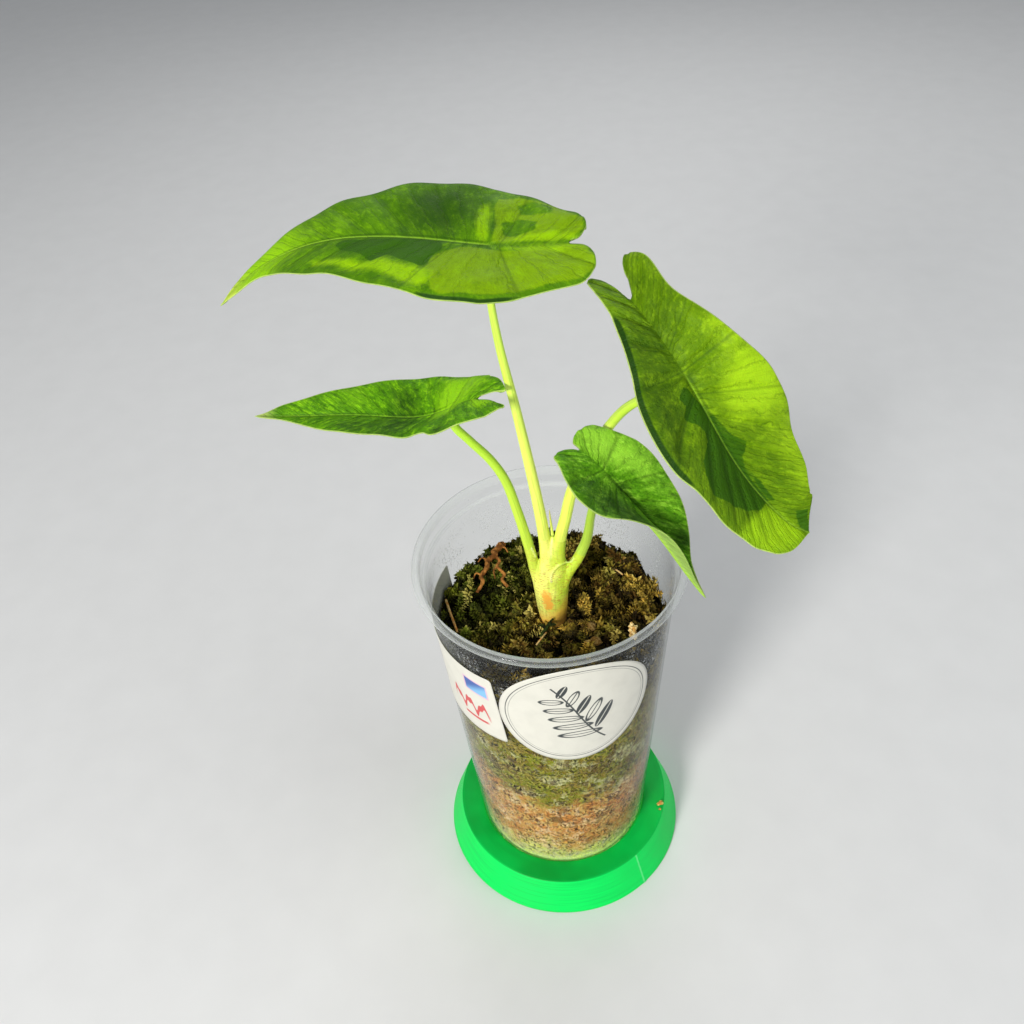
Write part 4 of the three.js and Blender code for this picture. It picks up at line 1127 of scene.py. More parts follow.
def tuft_points(chance, middles, normals, lengths, leaves, lift, width):
    """Star-shaped tufts of folded leaves: points, faces and each point's share of its leaf's length."""
    count = len(middles)
    helper = np.where(np.abs(normals[:, 2:]) < 0.9, [[0.0, 0.0, 1.0]], [[1.0, 0.0, 0.0]])
    east = np.cross(helper, normals)
    east /= np.linalg.norm(east, axis=1)[:, None]
    north = np.cross(normals, east)
    turn = chance.uniform(0, 2 * math.pi, (count, 1)) + np.arange(leaves) * 2 * math.pi / leaves
    turn = (turn + chance.normal(0, 0.35, (count, leaves)))[..., None]
    rise = chance.uniform(lift[0], lift[1], (count, leaves))[..., None]
    long = (lengths[:, None] * chance.uniform(0.65, 1.35, (count, leaves)))[..., None]
    wide = long * chance.uniform(width * 0.7, width * 1.3, (count, leaves, 1))
    level = np.cos(turn) * east[:, None] + np.sin(turn) * north[:, None]
    up = normals[:, None] + np.zeros_like(level)
    along = level * np.cos(rise) + up * np.sin(rise)
    side = np.cross(up, level)
    root = middles[:, None] + np.zeros_like(level)
    middle = root + along * long * 0.5 + up * long * 0.1
    tip = root + along * long - up * long * chance.uniform(-0.1, 0.3, (count, leaves, 1))
    ridge = middle + up * wide * 0.45
    rows = (root - side * wide * 0.4, root + side * wide * 0.4, middle - side * wide, middle + side * wide)
    points = np.stack([*rows, ridge, tip], 2).reshape(-1, 3)
    shares = np.tile([0.0, 0.0, 0.5, 0.5, 0.55, 1.0], count * leaves)
    pattern = np.array([(0, 1, 4), (0, 4, 2), (1, 3, 4), (2, 4, 5), (4, 3, 5)])
    faces = (np.arange(count * leaves)[:, None, None] * LEAF_POINTS + pattern).reshape(-1, 3)
    return points, faces, shares


def tuft_piece(name, finish, parts, top):
    """One piece of tufts. Each part has its points, faces, shares along a leaf, tones and depths."""
    points = np.concatenate([part[0] for part in parts])
    starts = np.cumsum([0] + [len(part[0]) for part in parts[:-1]])
    faces = np.concatenate([part[1] + start for part, start in zip(parts, starts)])
    shares, tones, lows = [np.concatenate([part[k] for part in parts]) for k in (2, 3, 4)]
    blank = np.zeros(len(points))
    readings = {
        "tone": np.stack([tones, blank + top, shares], 1),
        "depth": np.stack([lows, blank, blank], 1),
    }
    limit = wall_radius(points[:, 2]) - CUP["wall"] - 0.08
    reach = np.hypot(points[:, 0], points[:, 1])
    points[:, :2] *= np.minimum(limit / np.maximum(reach, 1e-6), 1)[:, None]
    piece = make_piece(name, points, faces.tolist(), finish, readings=readings, even=False)
    settle(piece, "moss")


def stem_places(chance, starts, lengths):
    """Places and directions along curling stems, which stem each is on, and how far along it."""
    middles = []
    ways = []
    owners = []
    shares = []
    for k, (start, length) in enumerate(zip(starts, lengths)):
        at = np.array(start)
        heading = chance.uniform(0, 2 * math.pi)
        lift = chance.uniform(-0.2, 0.5)
        curl = chance.uniform(-0.3, 0.3)
        steps = max(int(length / 0.85), 3)
        for j in range(steps):
            level = math.cos(lift)
            ahead = np.array([math.cos(heading) * level, math.sin(heading) * level, math.sin(lift)])
            middles.append(at.copy())
            ways.append(ahead)
            owners.append(k)
            shares.append(j / steps)
            at = at + ahead * length / steps
            heading += curl
            lift -= 0.1
    return np.array(middles), np.array(ways), np.array(owners), np.array(shares)


def clump_tones(chance, places):
    """Tones from 0 to 1 that neighbours share, so that the moss falls into clumps."""
    x, y = places[:, 0], places[:, 1]
    shared = ripples(x * 0.32, y * 0.32, x * 0, 3) + 0.6 * ripples(x * 0.8, y * 0.8, y * 0, 8)
    return np.clip(0.42 + 0.34 * shared + chance.normal(0, 0.11, len(x)), 0, 1)


def build_tufts(sizes, colours, rows, depth):
    """Leafy tufts and curling stems over the top, and leaves pressed against the clear wall."""
    chance = np.random.default_rng(11)
    finish = tuft_finish(colours)
    grid = np.array(rows)
    sectors = grid.shape[1]
    lows = depth[:, 0].reshape(len(grid), sectors)
    outmost = BED["rings"] - 1

    def normals_at(ring, sector):
        a = grid[ring + 1, sector] - grid[ring - 1, sector]
        b = grid[ring, (sector + 1) % sectors] - grid[ring, sector - 1]
        out = np.cross(b, a)
        out /= np.linalg.norm(out, axis=1)[:, None] + 1e-9
        return out * np.where(out[:, 2:] < 0, -1, 1)

    def places(count):
        share = np.sqrt(chance.uniform(0.0, 1, count))
        ring = np.clip((share ** (1 / BED["spread"]) * outmost).astype(int), 2, outmost)
        sector = chance.integers(0, sectors, count)
        return grid[ring, sector], normals_at(ring, sector), lows[ring, sector]

    tuft_size, spray_size = TUFT_LEAVES * LEAF_POINTS, SPRAY_LEAVES * LEAF_POINTS
    for part in range(2):
        count = sizes.tuft_count
        middles, up, low = places(count)
        tilt = up + chance.normal(0, 0.35, (count, 3))
        tilt /= np.linalg.norm(tilt, axis=1)[:, None]
        long = chance.uniform(0.8, 2.3, count)
        tufts = tuft_points(chance, middles - up * 0.25, tilt, long, TUFT_LEAVES, (0.1, 1.1), 0.2)
        tones = clump_tones(chance, middles)
        parts = [(*tufts, np.repeat(tones, tuft_size), np.repeat(low, tuft_size))]
        count = sizes.stem_count
        starts, up, low = places(count)
        long = chance.uniform(5, 14, count)
        middles, ways, owners, shares = stem_places(chance, starts + up * 0.5, long)
        wide = chance.uniform(1.3, 3.0, count)[owners] * (1.1 - 0.75 * shares)
        sprays = tuft_points(chance, middles, ways, wide, SPRAY_LEAVES, (0.15, 0.7), 0.22)
        tones = np.clip(clump_tones(chance, starts) + chance.uniform(-0.1, 0.35, count), 0, 1)[owners]
        low = np.clip(low + 0.25, 0, 1)[owners]
        parts.append((*sprays, np.repeat(tones, spray_size), np.repeat(low, spray_size)))
        tuft_piece(f"moss_top_{part + 1}", finish, parts, 1.0)

    count = sizes.tuft_count
    z = chance.uniform(MOSS_FLOOR + 1, MOSS["top"] + 2, count)
    a = chance.uniform(0, 2 * math.pi, count)
    r = wall_radius(z) - CUP["wall"] - chance.uniform(0.1, 0.5, count)
    middles = np.stack([r * np.cos(a), r * np.sin(a), z], 1)
    outward = np.stack([np.cos(a), np.sin(a), np.full(count, -CUP["slope"])], 1)
    long = chance.uniform(1.2, 3.4, count)
    pressed = tuft_points(chance, middles, outward, long, TUFT_LEAVES, (-0.1, 0.1), 0.16)
    tones = clump_tones(chance, np.stack([a * 38, z * 1.2], 1))
    parts = [(*pressed, np.repeat(tones, tuft_size), np.ones(count * tuft_size))]
    tuft_piece("moss_side", finish, parts, 0.0)


# The blades


class Midrib:
    """A blade's midrib: places along it, with the directions ahead, up and to port."""

    def __init__(self, leaf):
        self.leaf = leaf
        self.stations = [u * (leaf["behind"] if u < 0 else leaf["ahead"]) for u in ANGLE_STATIONS]
        behind = self.walk(-leaf["behind"])
        ahead = self.walk(leaf["ahead"])
        places = behind[::-1] + ahead[1:]
        self.along = np.array([s for s, _ in places])
        self.points = np.array([p for _, p in places])

    def walk(self, end):
        out = [(0.0, np.array(self.leaf["joint"], float))]
        count = math.ceil(abs(end) / 0.5)
        for j in range(1, count + 1):
            before, point = out[-1]
            s = end * j / count
            ahead = self.frame((s + before) / 2)[0]
            out.append((s, point + ahead * (s - before)))
        return out

    def angle(self, values, s):
        return math.radians(smooth(self.stations, values, s))

    def frame(self, s):
        leaf = self.leaf
        heading = self.angle(leaf["heading"], s)
        pitch = self.angle(leaf["pitch"], s)
        roll = self.angle(leaf["roll"], s)
        if "hook" in leaf:
            bend = clamp((s - leaf["hook"]["from"]) / leaf["hook"]["over"])
            heading += math.radians(leaf["hook"]["heading"]) * bend
            pitch += math.radians(leaf["hook"]["pitch"]) * bend
        cos_p, sin_p = math.cos(pitch), math.sin(pitch)
        cos_h, sin_h = math.cos(heading), math.sin(heading)
        ahead = np.array([cos_p * cos_h, cos_p * sin_h, sin_p])
        up = np.array([-sin_p * cos_h, -sin_p * sin_h, cos_p])
        port = np.cross(up, ahead)
        rolled_up = up * math.cos(roll) + port * math.sin(roll)
        rolled_port = port * math.cos(roll) - up * math.sin(roll)
        return ahead, rolled_up, rolled_port

    def point(self, s):
        return np.array([np.interp(s, self.along, self.points[:, k]) for k in range(3)])


def half_width(leaf, half, s):
    """The half width of one half of a blade before its ends are rounded."""
    stations = [u * (half["lobe"] if u < 0 else leaf["ahead"]) for u in WIDTH_STATIONS]
    return max(smooth(stations, (*half["width"], 0), s), 0.0)


def margins(leaf, half, s):
    """The inner and outer margins of one half at a place along the midrib's line."""
    outer = half_width(leaf, half, s)
    if s >= -leaf["sinus"]:
        left = clamp((leaf["ahead"] - s) / half["blunt"]) if "blunt" in half and s > 0 else 1
        return 0.0, outer * math.sqrt(max(1 - (1 - left) ** 2, 0))
    in_lobe = (-s - leaf["sinus"]) / (half["lobe"] - leaf["sinus"])
    inner = min(half["slit"] * in_lobe**0.6, outer)
    share = clamp((s + half["lobe"]) / (half["round"] * half["lobe"]))
    cap = math.sqrt(max(1 - (1 - share) ** 2, 0))
    middle = (inner + outer) / 2
    reach = (outer - inner) / 2 * cap
    return middle - reach, middle + reach


def row_places(leaf, half):
    """Places along the midrib's line for the rows of one half, closer together at the ends."""
    size = (leaf["ahead"] + leaf["behind"]) / LONGEST_BLADE
    lobe, sinus, ahead = round(16 + 10 * size), round(10 + 24 * size), round(24 + 96 * size)
    places = []
    for j in range(lobe):
        a = math.pi / 2 * j / lobe
        places.append(-half["lobe"] + (half["lobe"] - leaf["sinus"]) * (1 - math.cos(a)))
    places += [-leaf["sinus"] * (1 - j / sinus) for j in range(sinus)]
    places += [leaf["ahead"] * (1 - (1 - j / ahead) ** 1.25) for j in range(ahead + 1)]
    return places


def vein_start(leaf, s, w):
    """Where on the midrib the side vein through each place starts. Side veins sweep forward ahead
    of the petiole and backward in the lobes."""
    long, short = leaf["ahead"], leaf["behind"]
    start = s - 0.3 * w
    for _ in range(10):
        ahead = start > 0
        u = np.clip(np.where(ahead, 3 * start / long, 2.6 * start / short), -3, 3)
        lean = 0.1 + np.where(ahead, 1.5, 1.6) * np.tanh(u)
        change = np.where(ahead, 4.5 / long, 4.16 / short) / np.cosh(u) ** 2
        start = start - (start + lean * w - s) / (1 + change * w)
    return start


def costa_distance(leaf, half, s, w, full):
    """How far each place is from the midrib, or in a lobe from the lobe's own strong vein."""
    back = np.clip(-s / (0.7 * half["lobe"]), 0, 1)
    middle = 0.4 * full * back**0.8
    in_lobe = np.minimum(np.abs(w - middle), np.where(back < 0.75, w + 5 * back, 99))
    return np.where(s > 0, w, in_lobe)


def blade_relief(leaf, half, s, w, t, full, margin, start):
    """How far a blade's surface stands off its plain sheet, and how much thicker its underside is."""
    size = np.clip(1.15 - np.abs(s) / leaf["ahead"], 0.1, 1)
    costa = costa_distance(leaf, half, s, w, full)
    spacing = VEIN_SPACING * leaf["ahead"]
    apart = np.abs((start / spacing - FIRST_VEIN + 0.5) % 1 - 0.5) * spacing
    body = ease(t, 0.02, 0.2) * (1 - ease(t, 0.72, 1))
    pleat = leaf.get("pleats", 1) * size * body * (0.5 - 0.95 * np.exp(-((apart / (0.14 * spacing)) ** 2)))
    swell = 0.5 * size * ripples(s * 0.09, w * 0.14 + leaf["ahead"], 0.3) * body
    relief = pleat * 0.62 + swell - 0.2 * size * np.exp(-((costa / 0.6) ** 2))
    rolled = 0.25 * np.minimum(full / 8, 1)
    for low, high, depth in half.get("rolled", ()):
        rolled = np.maximum(rolled, depth * ease(s, low, low + 8) * (1 - ease(s, high - 8, high)))
    relief = relief - rolled * np.exp(-((margin / 1.1) ** 2))
    under = 1.15 * size * np.exp(-((costa / 0.9) ** 2)) * np.clip(margin / 0.6, 0, 1)
    shadow = np.clip(rolled - 0.3, 0, 1) * np.exp(-(((margin - 0.65) / 0.5) ** 2))
    return relief, under, costa, size, shadow


def blade_sheet(leaf, thickness):
    """A blade as a thin solid sheet: its points, its faces and what its finish reads."""
    rib = Midrib(leaf)
    columns = 30
    shares = np.linspace(0, 1, columns + 1)
    shares = shares * 0.35 + 0.65 * (1 - (1 - shares) ** 2.2)
    points = []
    faces = []
    readings = []
    for half, side in ((leaf["port"], 1), (leaf["starboard"], -1)):
        rows = row_places(leaf, half)
        for face_side in (1, -1):
            first = sum(len(p) for p in points)
            for s in rows:
                inner, outer = margins(leaf, half, s)
                full = max(half_width(leaf, half, s), 0.2)
                fold, rim = rib.angle(half["fold"], s), rib.angle(half["rim"], s)
                bend = rim - fold if abs(rim - fold) > 1e-4 else 1e-4
                _, up, port = rib.frame(s)
                w = inner + (outer - inner) * shares
                t = w / full
                angle = fold + bend * t
                out = (np.sin(angle) - math.sin(fold)) / bend * full
                wave = math.sin(2 * math.pi * s / RIPPLE["length"] + side)
                rise = (math.cos(fold) - np.cos(angle)) / bend * full
                rise = rise + RIPPLE["height"] * t**3 * wave * min(full / 15, 1)
                normal = np.cos(angle)[:, None] * up - np.sin(angle)[:, None] * port * side
                margin = outer - w
                if s < -leaf["sinus"]:
                    margin = np.minimum(margin, w - inner)
                line = np.full(len(w), float(s))
                start = vein_start(leaf, line, w)
                relief, under, costa, size, shadow = blade_relief(leaf, half, line, w, t, full, margin, start)
                edge = np.sqrt(np.clip(1 - (1 - np.clip(margin / 0.4, 0, 1)) ** 2, 0, 1))
                lift = relief + (thickness / 2 * edge if face_side > 0 else -thickness / 2 * edge - under)
                row = rib.point(s) + side * out[:, None] * port + rise[:, None] * up
                points.append(row + normal * lift[:, None])
                below = np.full(len(w), 0.0 if face_side > 0 else 1.0)
                readings.append(np.stack([line, side * w, start, margin, costa, size, shadow, below], 1))
            wide = columns + 1
            for r in range(len(rows) - 1):
                for c in range(columns):
                    a = first + r * wide + c
                    quad = (a, a + wide, a + wide + 1, a + 1)
                    faces.append(quad if side * face_side > 0 else quad[::-1])
    return np.concatenate(points), faces, np.concatenate(readings)


def outline_distance(outline, place):
    """Signed distances of many places to the edge of an outline, above 0 inside it."""
    corners = np.array(outline, float)
    best = np.full(len(place), 1e9)
    inside = np.zeros(len(place), bool)
    for k in range(len(corners)):
        a = corners[k]
        edge = corners[(k + 1) % len(corners)] - a
        share = np.clip(((place - a) @ edge) / (edge @ edge), 0, 1)
        best = np.minimum(best, np.linalg.norm(place - a - share[:, None] * edge, axis=1))
        crosses = (a[1] > place[:, 1]) != (a[1] + edge[1] > place[:, 1])
        rise = edge[1] if edge[1] else 1e-9
        inside ^= crosses & (place[:, 0] < a[0] + edge[0] * (place[:, 1] - a[1]) / rise)
    return np.where(inside, best, -best)


def marking_readings(name, places):
    """How far each place is inside its blade's dark, lime and bright sectors, and its broad tone, which is
    painted light and shade and partly the blade's own colour.
    """
    marks = MARKINGS[name]
    columns = []
    for kind in ("dark", "lime", "bright"):
        distance = np.full(len(places), -6.0)
        for outline in marks.get(kind, ()):
            distance = np.maximum(distance, outline_distance(outline, places))
        if kind == "lime":
            for outline in marks.get("holes", ()):
                distance = np.minimum(distance, -outline_distance(outline, places))
        columns.append(np.clip(distance, -6, 6))
    tone = np.zeros(len(places))
    for s, w, wide, amount in marks["tones"]:
        tone += amount * np.exp(-(((places[:, 0] - s) ** 2 + (places[:, 1] - w) ** 2) / wide**2))
    return np.stack(columns, 1), tone


def blade_finish(name, leaf, shades):
    """Leathery leaf: sectors of dark and light green, marbling, fine nerves and a thin margin, with broad
    painted light and shade, and a painted shadow inside rolled margins.
    """
    finish = Finish(name, Specular_IOR_Level=0.1, Subsurface_Weight=0.06)
    finish.set("Subsurface Radius", (0.4, 1.0, 0.15))
    finish.set("Subsurface Scale", 0.001)
    along, across, start = finish.reading("place")
    margin, costa, size = finish.reading("edges")
    dark, lime, bright = finish.reading("sectors")
    tone, shadow, below = finish.reading("tones")
    flat = finish.join(along, across)
    streak = finish.grain(finish.join(start * 1.5, across * 0.1), 1, 3, 0.6)
    hair = finish.grain(finish.join(start * 4.5, across * 0.3), 1, 3, 0.65)
    mottle = finish.grain(flat, 5, 4, 0.62)
    marble = finish.grain(finish.join(start * 0.5, across * 0.33, along * 0.2), 1, 6, 0.72, 0.4)
    fleck = finish.grain(flat, 0.8, 3, 0.6)
    wobble = (streak - 0.5) * 1.8 + (mottle - 0.5) * 2.2 + (fleck - 0.5) * 0.8
    finish.shade = finish.mix(mottle.fade(0.36, 0.64), shades["base"], shades["fresh"])
    finish.lay((lime + wobble * 0.6).fade(-0.4, 0.5), shades["lime"])
    finish.lay((bright + wobble * 0.9).fade(-1.2, 1.6) * 0.85, shades["bright"])
    veined = marble * 0.75 + fleck * 0.25
    finish.lay(veined.fade(0.5, 0.64) * leaf["marble"], shades["light"])
    finish.lay((1 - veined).fade(0.5, 0.64) * leaf["marble"] * 1.2, shades["dark"])
    finish.lay((dark + wobble * 0.45).fade(-0.2, 0.2) * 0.94, shades["dark"])
    # Painted light and shade: the broad tones lighten and darken the blade, partly its own colour.
    broad = tone + (marble - 0.5) * 0.7 + (streak - 0.5) * 0.3
    finish.lay(broad.fade(0.1, 1.05) * 0.85, shades["light"])
    finish.lay((-broad).fade(0.1, 1.0) * 0.8, shades["deep"])
    if "pale_from" in leaf:
        tips = along.fade(leaf["ahead"] * leaf["pale_from"], leaf["ahead"] * 1.02)
        finish.lay((tips * 1.1 + (fleck - 0.5) * 0.3 * tips) * 0.9, shades["tip"])
    finish.lay(hair.fade(0.45, 0.7) * leaf["nerves"] * 0.7, shades["deep"])
    bent = start + (mottle - 0.5) * 4 + (fleck - 0.5) * 0.6
    nerve = (bent + 90).pingpong(leaf["ahead"] * 0.021)
    finish.lay((1 - nerve.fade(0.04, 0.2)) * mottle.fade(0.4, 0.6) * leaf["nerves"] * 2, shades["deep"])
    spacing = VEIN_SPACING * leaf["ahead"]
    bent = start - FIRST_VEIN * spacing + 50 * spacing
    vein = bent.pingpong(spacing / 2)
    finish.lay((1 - vein.fade(0.03, 0.35)) * 0.35 * size, shades["deep"])
    ahead = along.fade(-4, 3) * 0.85 + 0.15
    beside = (1 - abs(costa - size * 0.8).fade(0.1, 0.5)) * 0.4 * ahead
    finish.lay(beside, shades["deep"])
    line = shades["vein"] if leaf["rib"] > 0 else shades["deep"]
    finish.lay((1 - costa.fade(0.1, 0.45)) * abs(leaf["rib"]) * ahead, line)
    finish.lay(shadow.fade(0.05, 0.5) * 0.9, shades["fold"])
    finish.lay((1 - margin.fade(0.12, leaf["hem"])) * 0.85, shades["edge"])
    under = finish.mix(hair.fade(0.4, 0.7) * 0.35, shades["under"], shades["lime"])
    under = finish.mix((1 - costa.fade(0.5, 1.2)) * 0.6, under, shades["vein"])
    finish.set("Base Color", finish.mix(below, finish.shade, under))
    finish.set("Roughness", mottle * 0.2 + 0.36)
    cells = finish.cells(flat, 0.45)
    relief = hair * 0.7 + streak * 0.5 + cells * 0.25 + marble * 0.8 - (1 - nerve.fade(0.05, 0.4)) * 0.6
    finish.bump(relief, 0.26, 0.9)
    return finish.material


def leaf_shades(colours, leaf):
    """The blade's own shades: the plant's colours, with the blade's own plain green and light."""
    names = ("dark", "deep", "fold", "tip", "vein", "edge", "under")
    shades = {name: tuple(getattr(colours, "leaf_" + name)) for name in names}
    for name, rgb in leaf["shades"].items():
        shades[name] = colour(*rgb)
    return shades


def build_blades(sizes, colours):
    """The four leaf blades."""
    for name, leaf in BLADES.items():
        points, faces, read = blade_sheet(leaf, sizes.blade_thickness / MM)
        sectors, tone = marking_readings(name, read[:, :2])
        readings = {
            "place": read[:, :3],
            "edges": read[:, 3:6],
            "sectors": sectors,
            # The broad tone is painted light and shade, partly the blade's own colour, and the second value
            # is the painted shadow inside a rolled margin.
            "tones": np.stack([tone, read[:, 6], read[:, 7]], 1),
        }
        finish = blade_finish(name + "_green", leaf, leaf_shades(colours, leaf))
        piece = make_piece(name + "_leaf", points, faces, finish, weld=0.002, readings=readings)
        settle(piece, "blade", name)


# The petioles and the crown


def petiole_line(name, leaf):
    """A petiole's middle line up to its blade, and the share where it leaves the crown."""
    stem = PETIOLES[name]
    rib = Midrib(leaf)
    up = rib.frame(0)[1]
    end = np.array(leaf["joint"]) - up * (BLADE_THICKNESS / 2 + FIT)
    curve = curve_through([*stem["line"], tuple(end)])
    points, shares = curve
    cut = float(np.interp(stem["cut"] + SHEATH_CUT, points[:, 2], shares))
    return curve, cut, up


def petiole_radius(stem, share):
    return stem["low"] + (stem["high"] - stem["low"]) * min(share * 1.15, 1)


def petiole_finish(name, colours, shades):
    """Pale yellow-green stalk with fine lengthwise lines and small reddish dashes."""
    finish = Finish(name, Roughness=0.34, Specular_IOR_Level=0.35, Subsurface_Weight=0.2)
    finish.set("Subsurface Radius", (0.8, 1.0, 0.3))
    finish.set("Subsurface Scale", 0.0015)
    share, turn, up = finish.reading("stalk")
    where = finish.spot()
    lines = finish.grain(finish.join(turn.sine() * 3, (turn + 1.57).sine() * 3, up * 0.05), 1, 2)
    finish.shade = finish.mix(share.fade(0.1, 0.95), colour(*shades[0]), colour(*shades[1]))
    finish.lay(lines.fade(0.5, 0.68) * 0.4, colours.petiole_line)
    dashes = finish.grain(finish.spot((0.5, 0.5, 1.5)), 0.55, 2, 0.6).fade(0.66, 0.72)
    finish.lay(dashes * 0.3 * (1 - share.fade(0.3, 0.8)), colours.speckle)
    finish.set("Base Color", finish.shade)
    finish.bump(lines + finish.grain(where, 0.3, 2) * 0.3, 0.1, 0.5)
    return finish.material


def crown_finish(colours):
    """Pale crown: yellow-lime, with reddish-brown dashes, a tan scar, a browner foot and a painted highlight
    along the sheath edges.
    """
    finish = Finish("crown_skin", Roughness=0.4, Specular_IOR_Level=0.35, Subsurface_Weight=0.2)
    finish.set("Subsurface Radius", (1.0, 1.0, 0.3))
    finish.set("Subsurface Scale", 0.0015)
    where = finish.spot()
    x, y, z = finish.parts(where)
    lines = finish.grain(finish.spot((1, 1, 0.07)), 0.8, 3)
    wide = finish.grain(where, 4, 2)
    green = (x * 0.22 + (wide - 0.5) * 2).fade(-0.6, 1.2)
    finish.shade = finish.mix(green, colours.crown, colours.crown_green)
    leaf_three = (-x - 3.4 + (z - 150) * 0.03 + (wide - 0.5)).fade(-0.4, 0.8) * z.fade(148, 158)
    finish.lay(leaf_three * 0.8, colours.crown_green)
    finish.lay(lines.fade(0.48, 0.7) * 0.35, colours.petiole_line)
    dashes = finish.grain(finish.spot((0.45, 0.45, 1.8)), 0.62, 3, 0.6).fade(0.55, 0.63)
    low = 1 - z.fade(148, 172)
    finish.lay(dashes * (low * 0.5 + 0.15), colours.speckle)
    ragged = (wide - 0.5) * 1.6 + (finish.grain(where, 0.9, 3, 0.7) - 0.5) * 3
    across = x + 1.4 + (z - 141.6) * 0.12
    scar = (across / 2) ** 2 + ((z - 141.4) / 5.4) ** 2 + ragged + y.fade(-2, 0) * 9
    finish.lay((1 - scar.fade(0.4, 1.4)) * 0.95, colours.scar)
    tan = 1 - (z - x * 0.7 + (wide - 0.5) * 6).fade(131, 141)
    finish.lay(tan * 0.7, colours.scar)
    foot = 1 - (z - x * 0.9 + (wide - 0.5) * 7).fade(126.5, 134)
    finish.lay(foot * 0.9, colours.crown_foot)
    # Painted highlight along the sheath edges.
    ridge, _, _ = finish.reading("ridge")
    finish.lay((1 - ridge.fade(0.15, 0.55)) * 0.35, (0.9, 0.96, 0.55, 1))
    finish.set("Base Color", finish.shade)
    finish.bump(lines + dashes * 0.3, 0.18, 0.6)
    return finish.material


def swelling(size):
    """The radius of a sheath's edge, thin at both ends."""
    return lambda u, a: size * (0.35 + 0.65 * math.sin(math.pi * u))


def build_crown(sizes, colours):
    """The stout stem foot with the wrapping petiole bases and their sheath edges, melted into one."""
    rings = []
    for z in np.linspace(CROWN_BODY[0][0], CROWN_BODY[-1][0], 60):
        heights = [row[0] for row in CROWN_BODY]
        x, y, wide, deep = (smooth(heights, [row[k] for row in CROWN_BODY], z) for k in range(1, 5))
        angles = np.linspace(0, 2 * math.pi, 48, endpoint=False)
        ring = np.stack([x + wide * np.cos(angles), y + deep * np.sin(angles), np.full(48, z)], 1)
        rings.append(ring)
    parts = [skin(rings)]
    for name, leaf in zip(PETIOLES, BLADES.values()):
        stem = PETIOLES[name]
        curve, cut, _ = petiole_line(name, leaf)
        base = rings_along(curve, lambda u, a: petiole_radius(stem, u), STALK_SIDES, 24, 0.0, cut)
        parts.append(skin(base))
    for line, size in SHEATH_EDGES:
        parts.append(skin(rings_along(curve_through(line), swelling(size), 10, 30)))
    points, faces = joined(parts)
    rough = make_piece("crown_rough", points, faces, crown_finish(colours))
    remesh = rough.modifiers.new("melt", "REMESH")
    remesh.mode = "VOXEL"
    remesh.voxel_size = 0.3 * MM
    relax = rough.modifiers.new("relax", "SMOOTH")
    relax.iterations = 4
    relax.factor = 0.5
    graph = bpy.context.evaluated_depsgraph_get()
    mesh = bpy.data.meshes.new_from_object(rough.evaluated_get(graph))
    places = np.zeros(len(mesh.vertices) * 3)
    mesh.vertices.foreach_get("co", places)
    places = places.reshape(-1, 3) / MM
    near = np.full(len(places), 9.0)
    for point in np.concatenate([curve_through(line)[0][::4] for line, _ in SHEATH_EDGES]):
        near = np.minimum(near, np.linalg.norm(places - point, axis=1))
    marks = mesh.attributes.new("ridge", "FLOAT_VECTOR", "POINT")
    marks.data.foreach_set("vector", np.repeat(near, 3).astype(np.float32))
    piece = bpy.data.objects.new("crown_stem", mesh)
    bpy.context.scene.collection.objects.link(piece)
    mesh.polygons.foreach_set("use_smooth", [True] * len(mesh.polygons))
    bpy.data.objects.remove(rough)
    settle(piece, "crown", "crown")


def build_petioles(sizes, colours):
    """The four petioles and the new leaf's spear."""
    for name, leaf in zip(PETIOLES, BLADES.values()):
        stem = PETIOLES[name]
        finish = petiole_finish(name + "_skin", colours, stem["shades"])
        curve, cut, up = petiole_line(name, leaf)
        start = max(cut - 0.03, 0)
        radius = lambda u, a: petiole_radius(stem, u) - 0.03
        rings = rings_along(curve, radius, STALK_SIDES, 130, start, 1)
        _, along = place_on(curve, 1)
        end = curve[0][-1]
        for k in range(len(rings[-1])):
            point = rings[-1][k]
            rings[-1][k] = point + along * (((end - point) @ up + 0.25) / (along @ up))
        stalk = []
        for j, ring in enumerate(rings):
            share = start + (1 - start) * j / (len(rings) - 1)
            stalk += [(share, k / STALK_SIDES * 6.28, ring[k][2]) for k in range(STALK_SIDES)]
        piece = make_piece(name + "_stalk", *skin(rings), finish, readings={"stalk": stalk})
        settle(piece, "petiole", name)
    finish = petiole_finish("spear_skin", colours, ((226, 240, 110), (205, 196, 90)))
    parts = []
    for line, thick, thin in SPEARS:
        rings = rings_along(curve_through(line), lambda u, a: thick * (1 - u) ** 0.8 + thin, 16, 30)
        parts.append(skin(rings))
    points, faces = joined(parts)
    stalk = [(j / 30, k / 16 * 6.28, points[j * 16 + k][2]) for j in range(31) for k in range(16)]
    piece = make_piece("new_leaf_tip", points, faces, finish, readings={"stalk": stalk + stalk})
    settle(piece, "petiole", "new_leaf_spear")


# Loose things on the moss, on the wall and on the stand


def dead_finish(name, light, dark, size=1.2):
    """Dry fibrous stuff in two colours with dark specks."""
    finish = Finish(name, Roughness=0.85, Specular_IOR_Level=0.15)
    where = finish.spot()
    wide = finish.grain(where, size * 2, 3)
    fine = finish.grain(where, size * 0.4, 4, 0.7)
    shade = finish.mix(wide.fade(0.35, 0.65), light, dark)
    finish.set("Base Color", finish.mix(fine.fade(0.52, 0.8) * 0.5, shade, (0.045, 0.03, 0.015, 1)))
    finish.bump(fine, 0.3, 0.9)
    return finish.material


def lifted(line):
    return [(x, y, MOSS["top"] + up) for x, y, up in line]


def laid(points):
    """Raises or lowers points so that they lie on the moss, sunk in a little."""
    points[:, 2] += np.max(moss_height(points[:, 0], points[:, 1]) - points[:, 2]) + FIT - 0.25
    return points


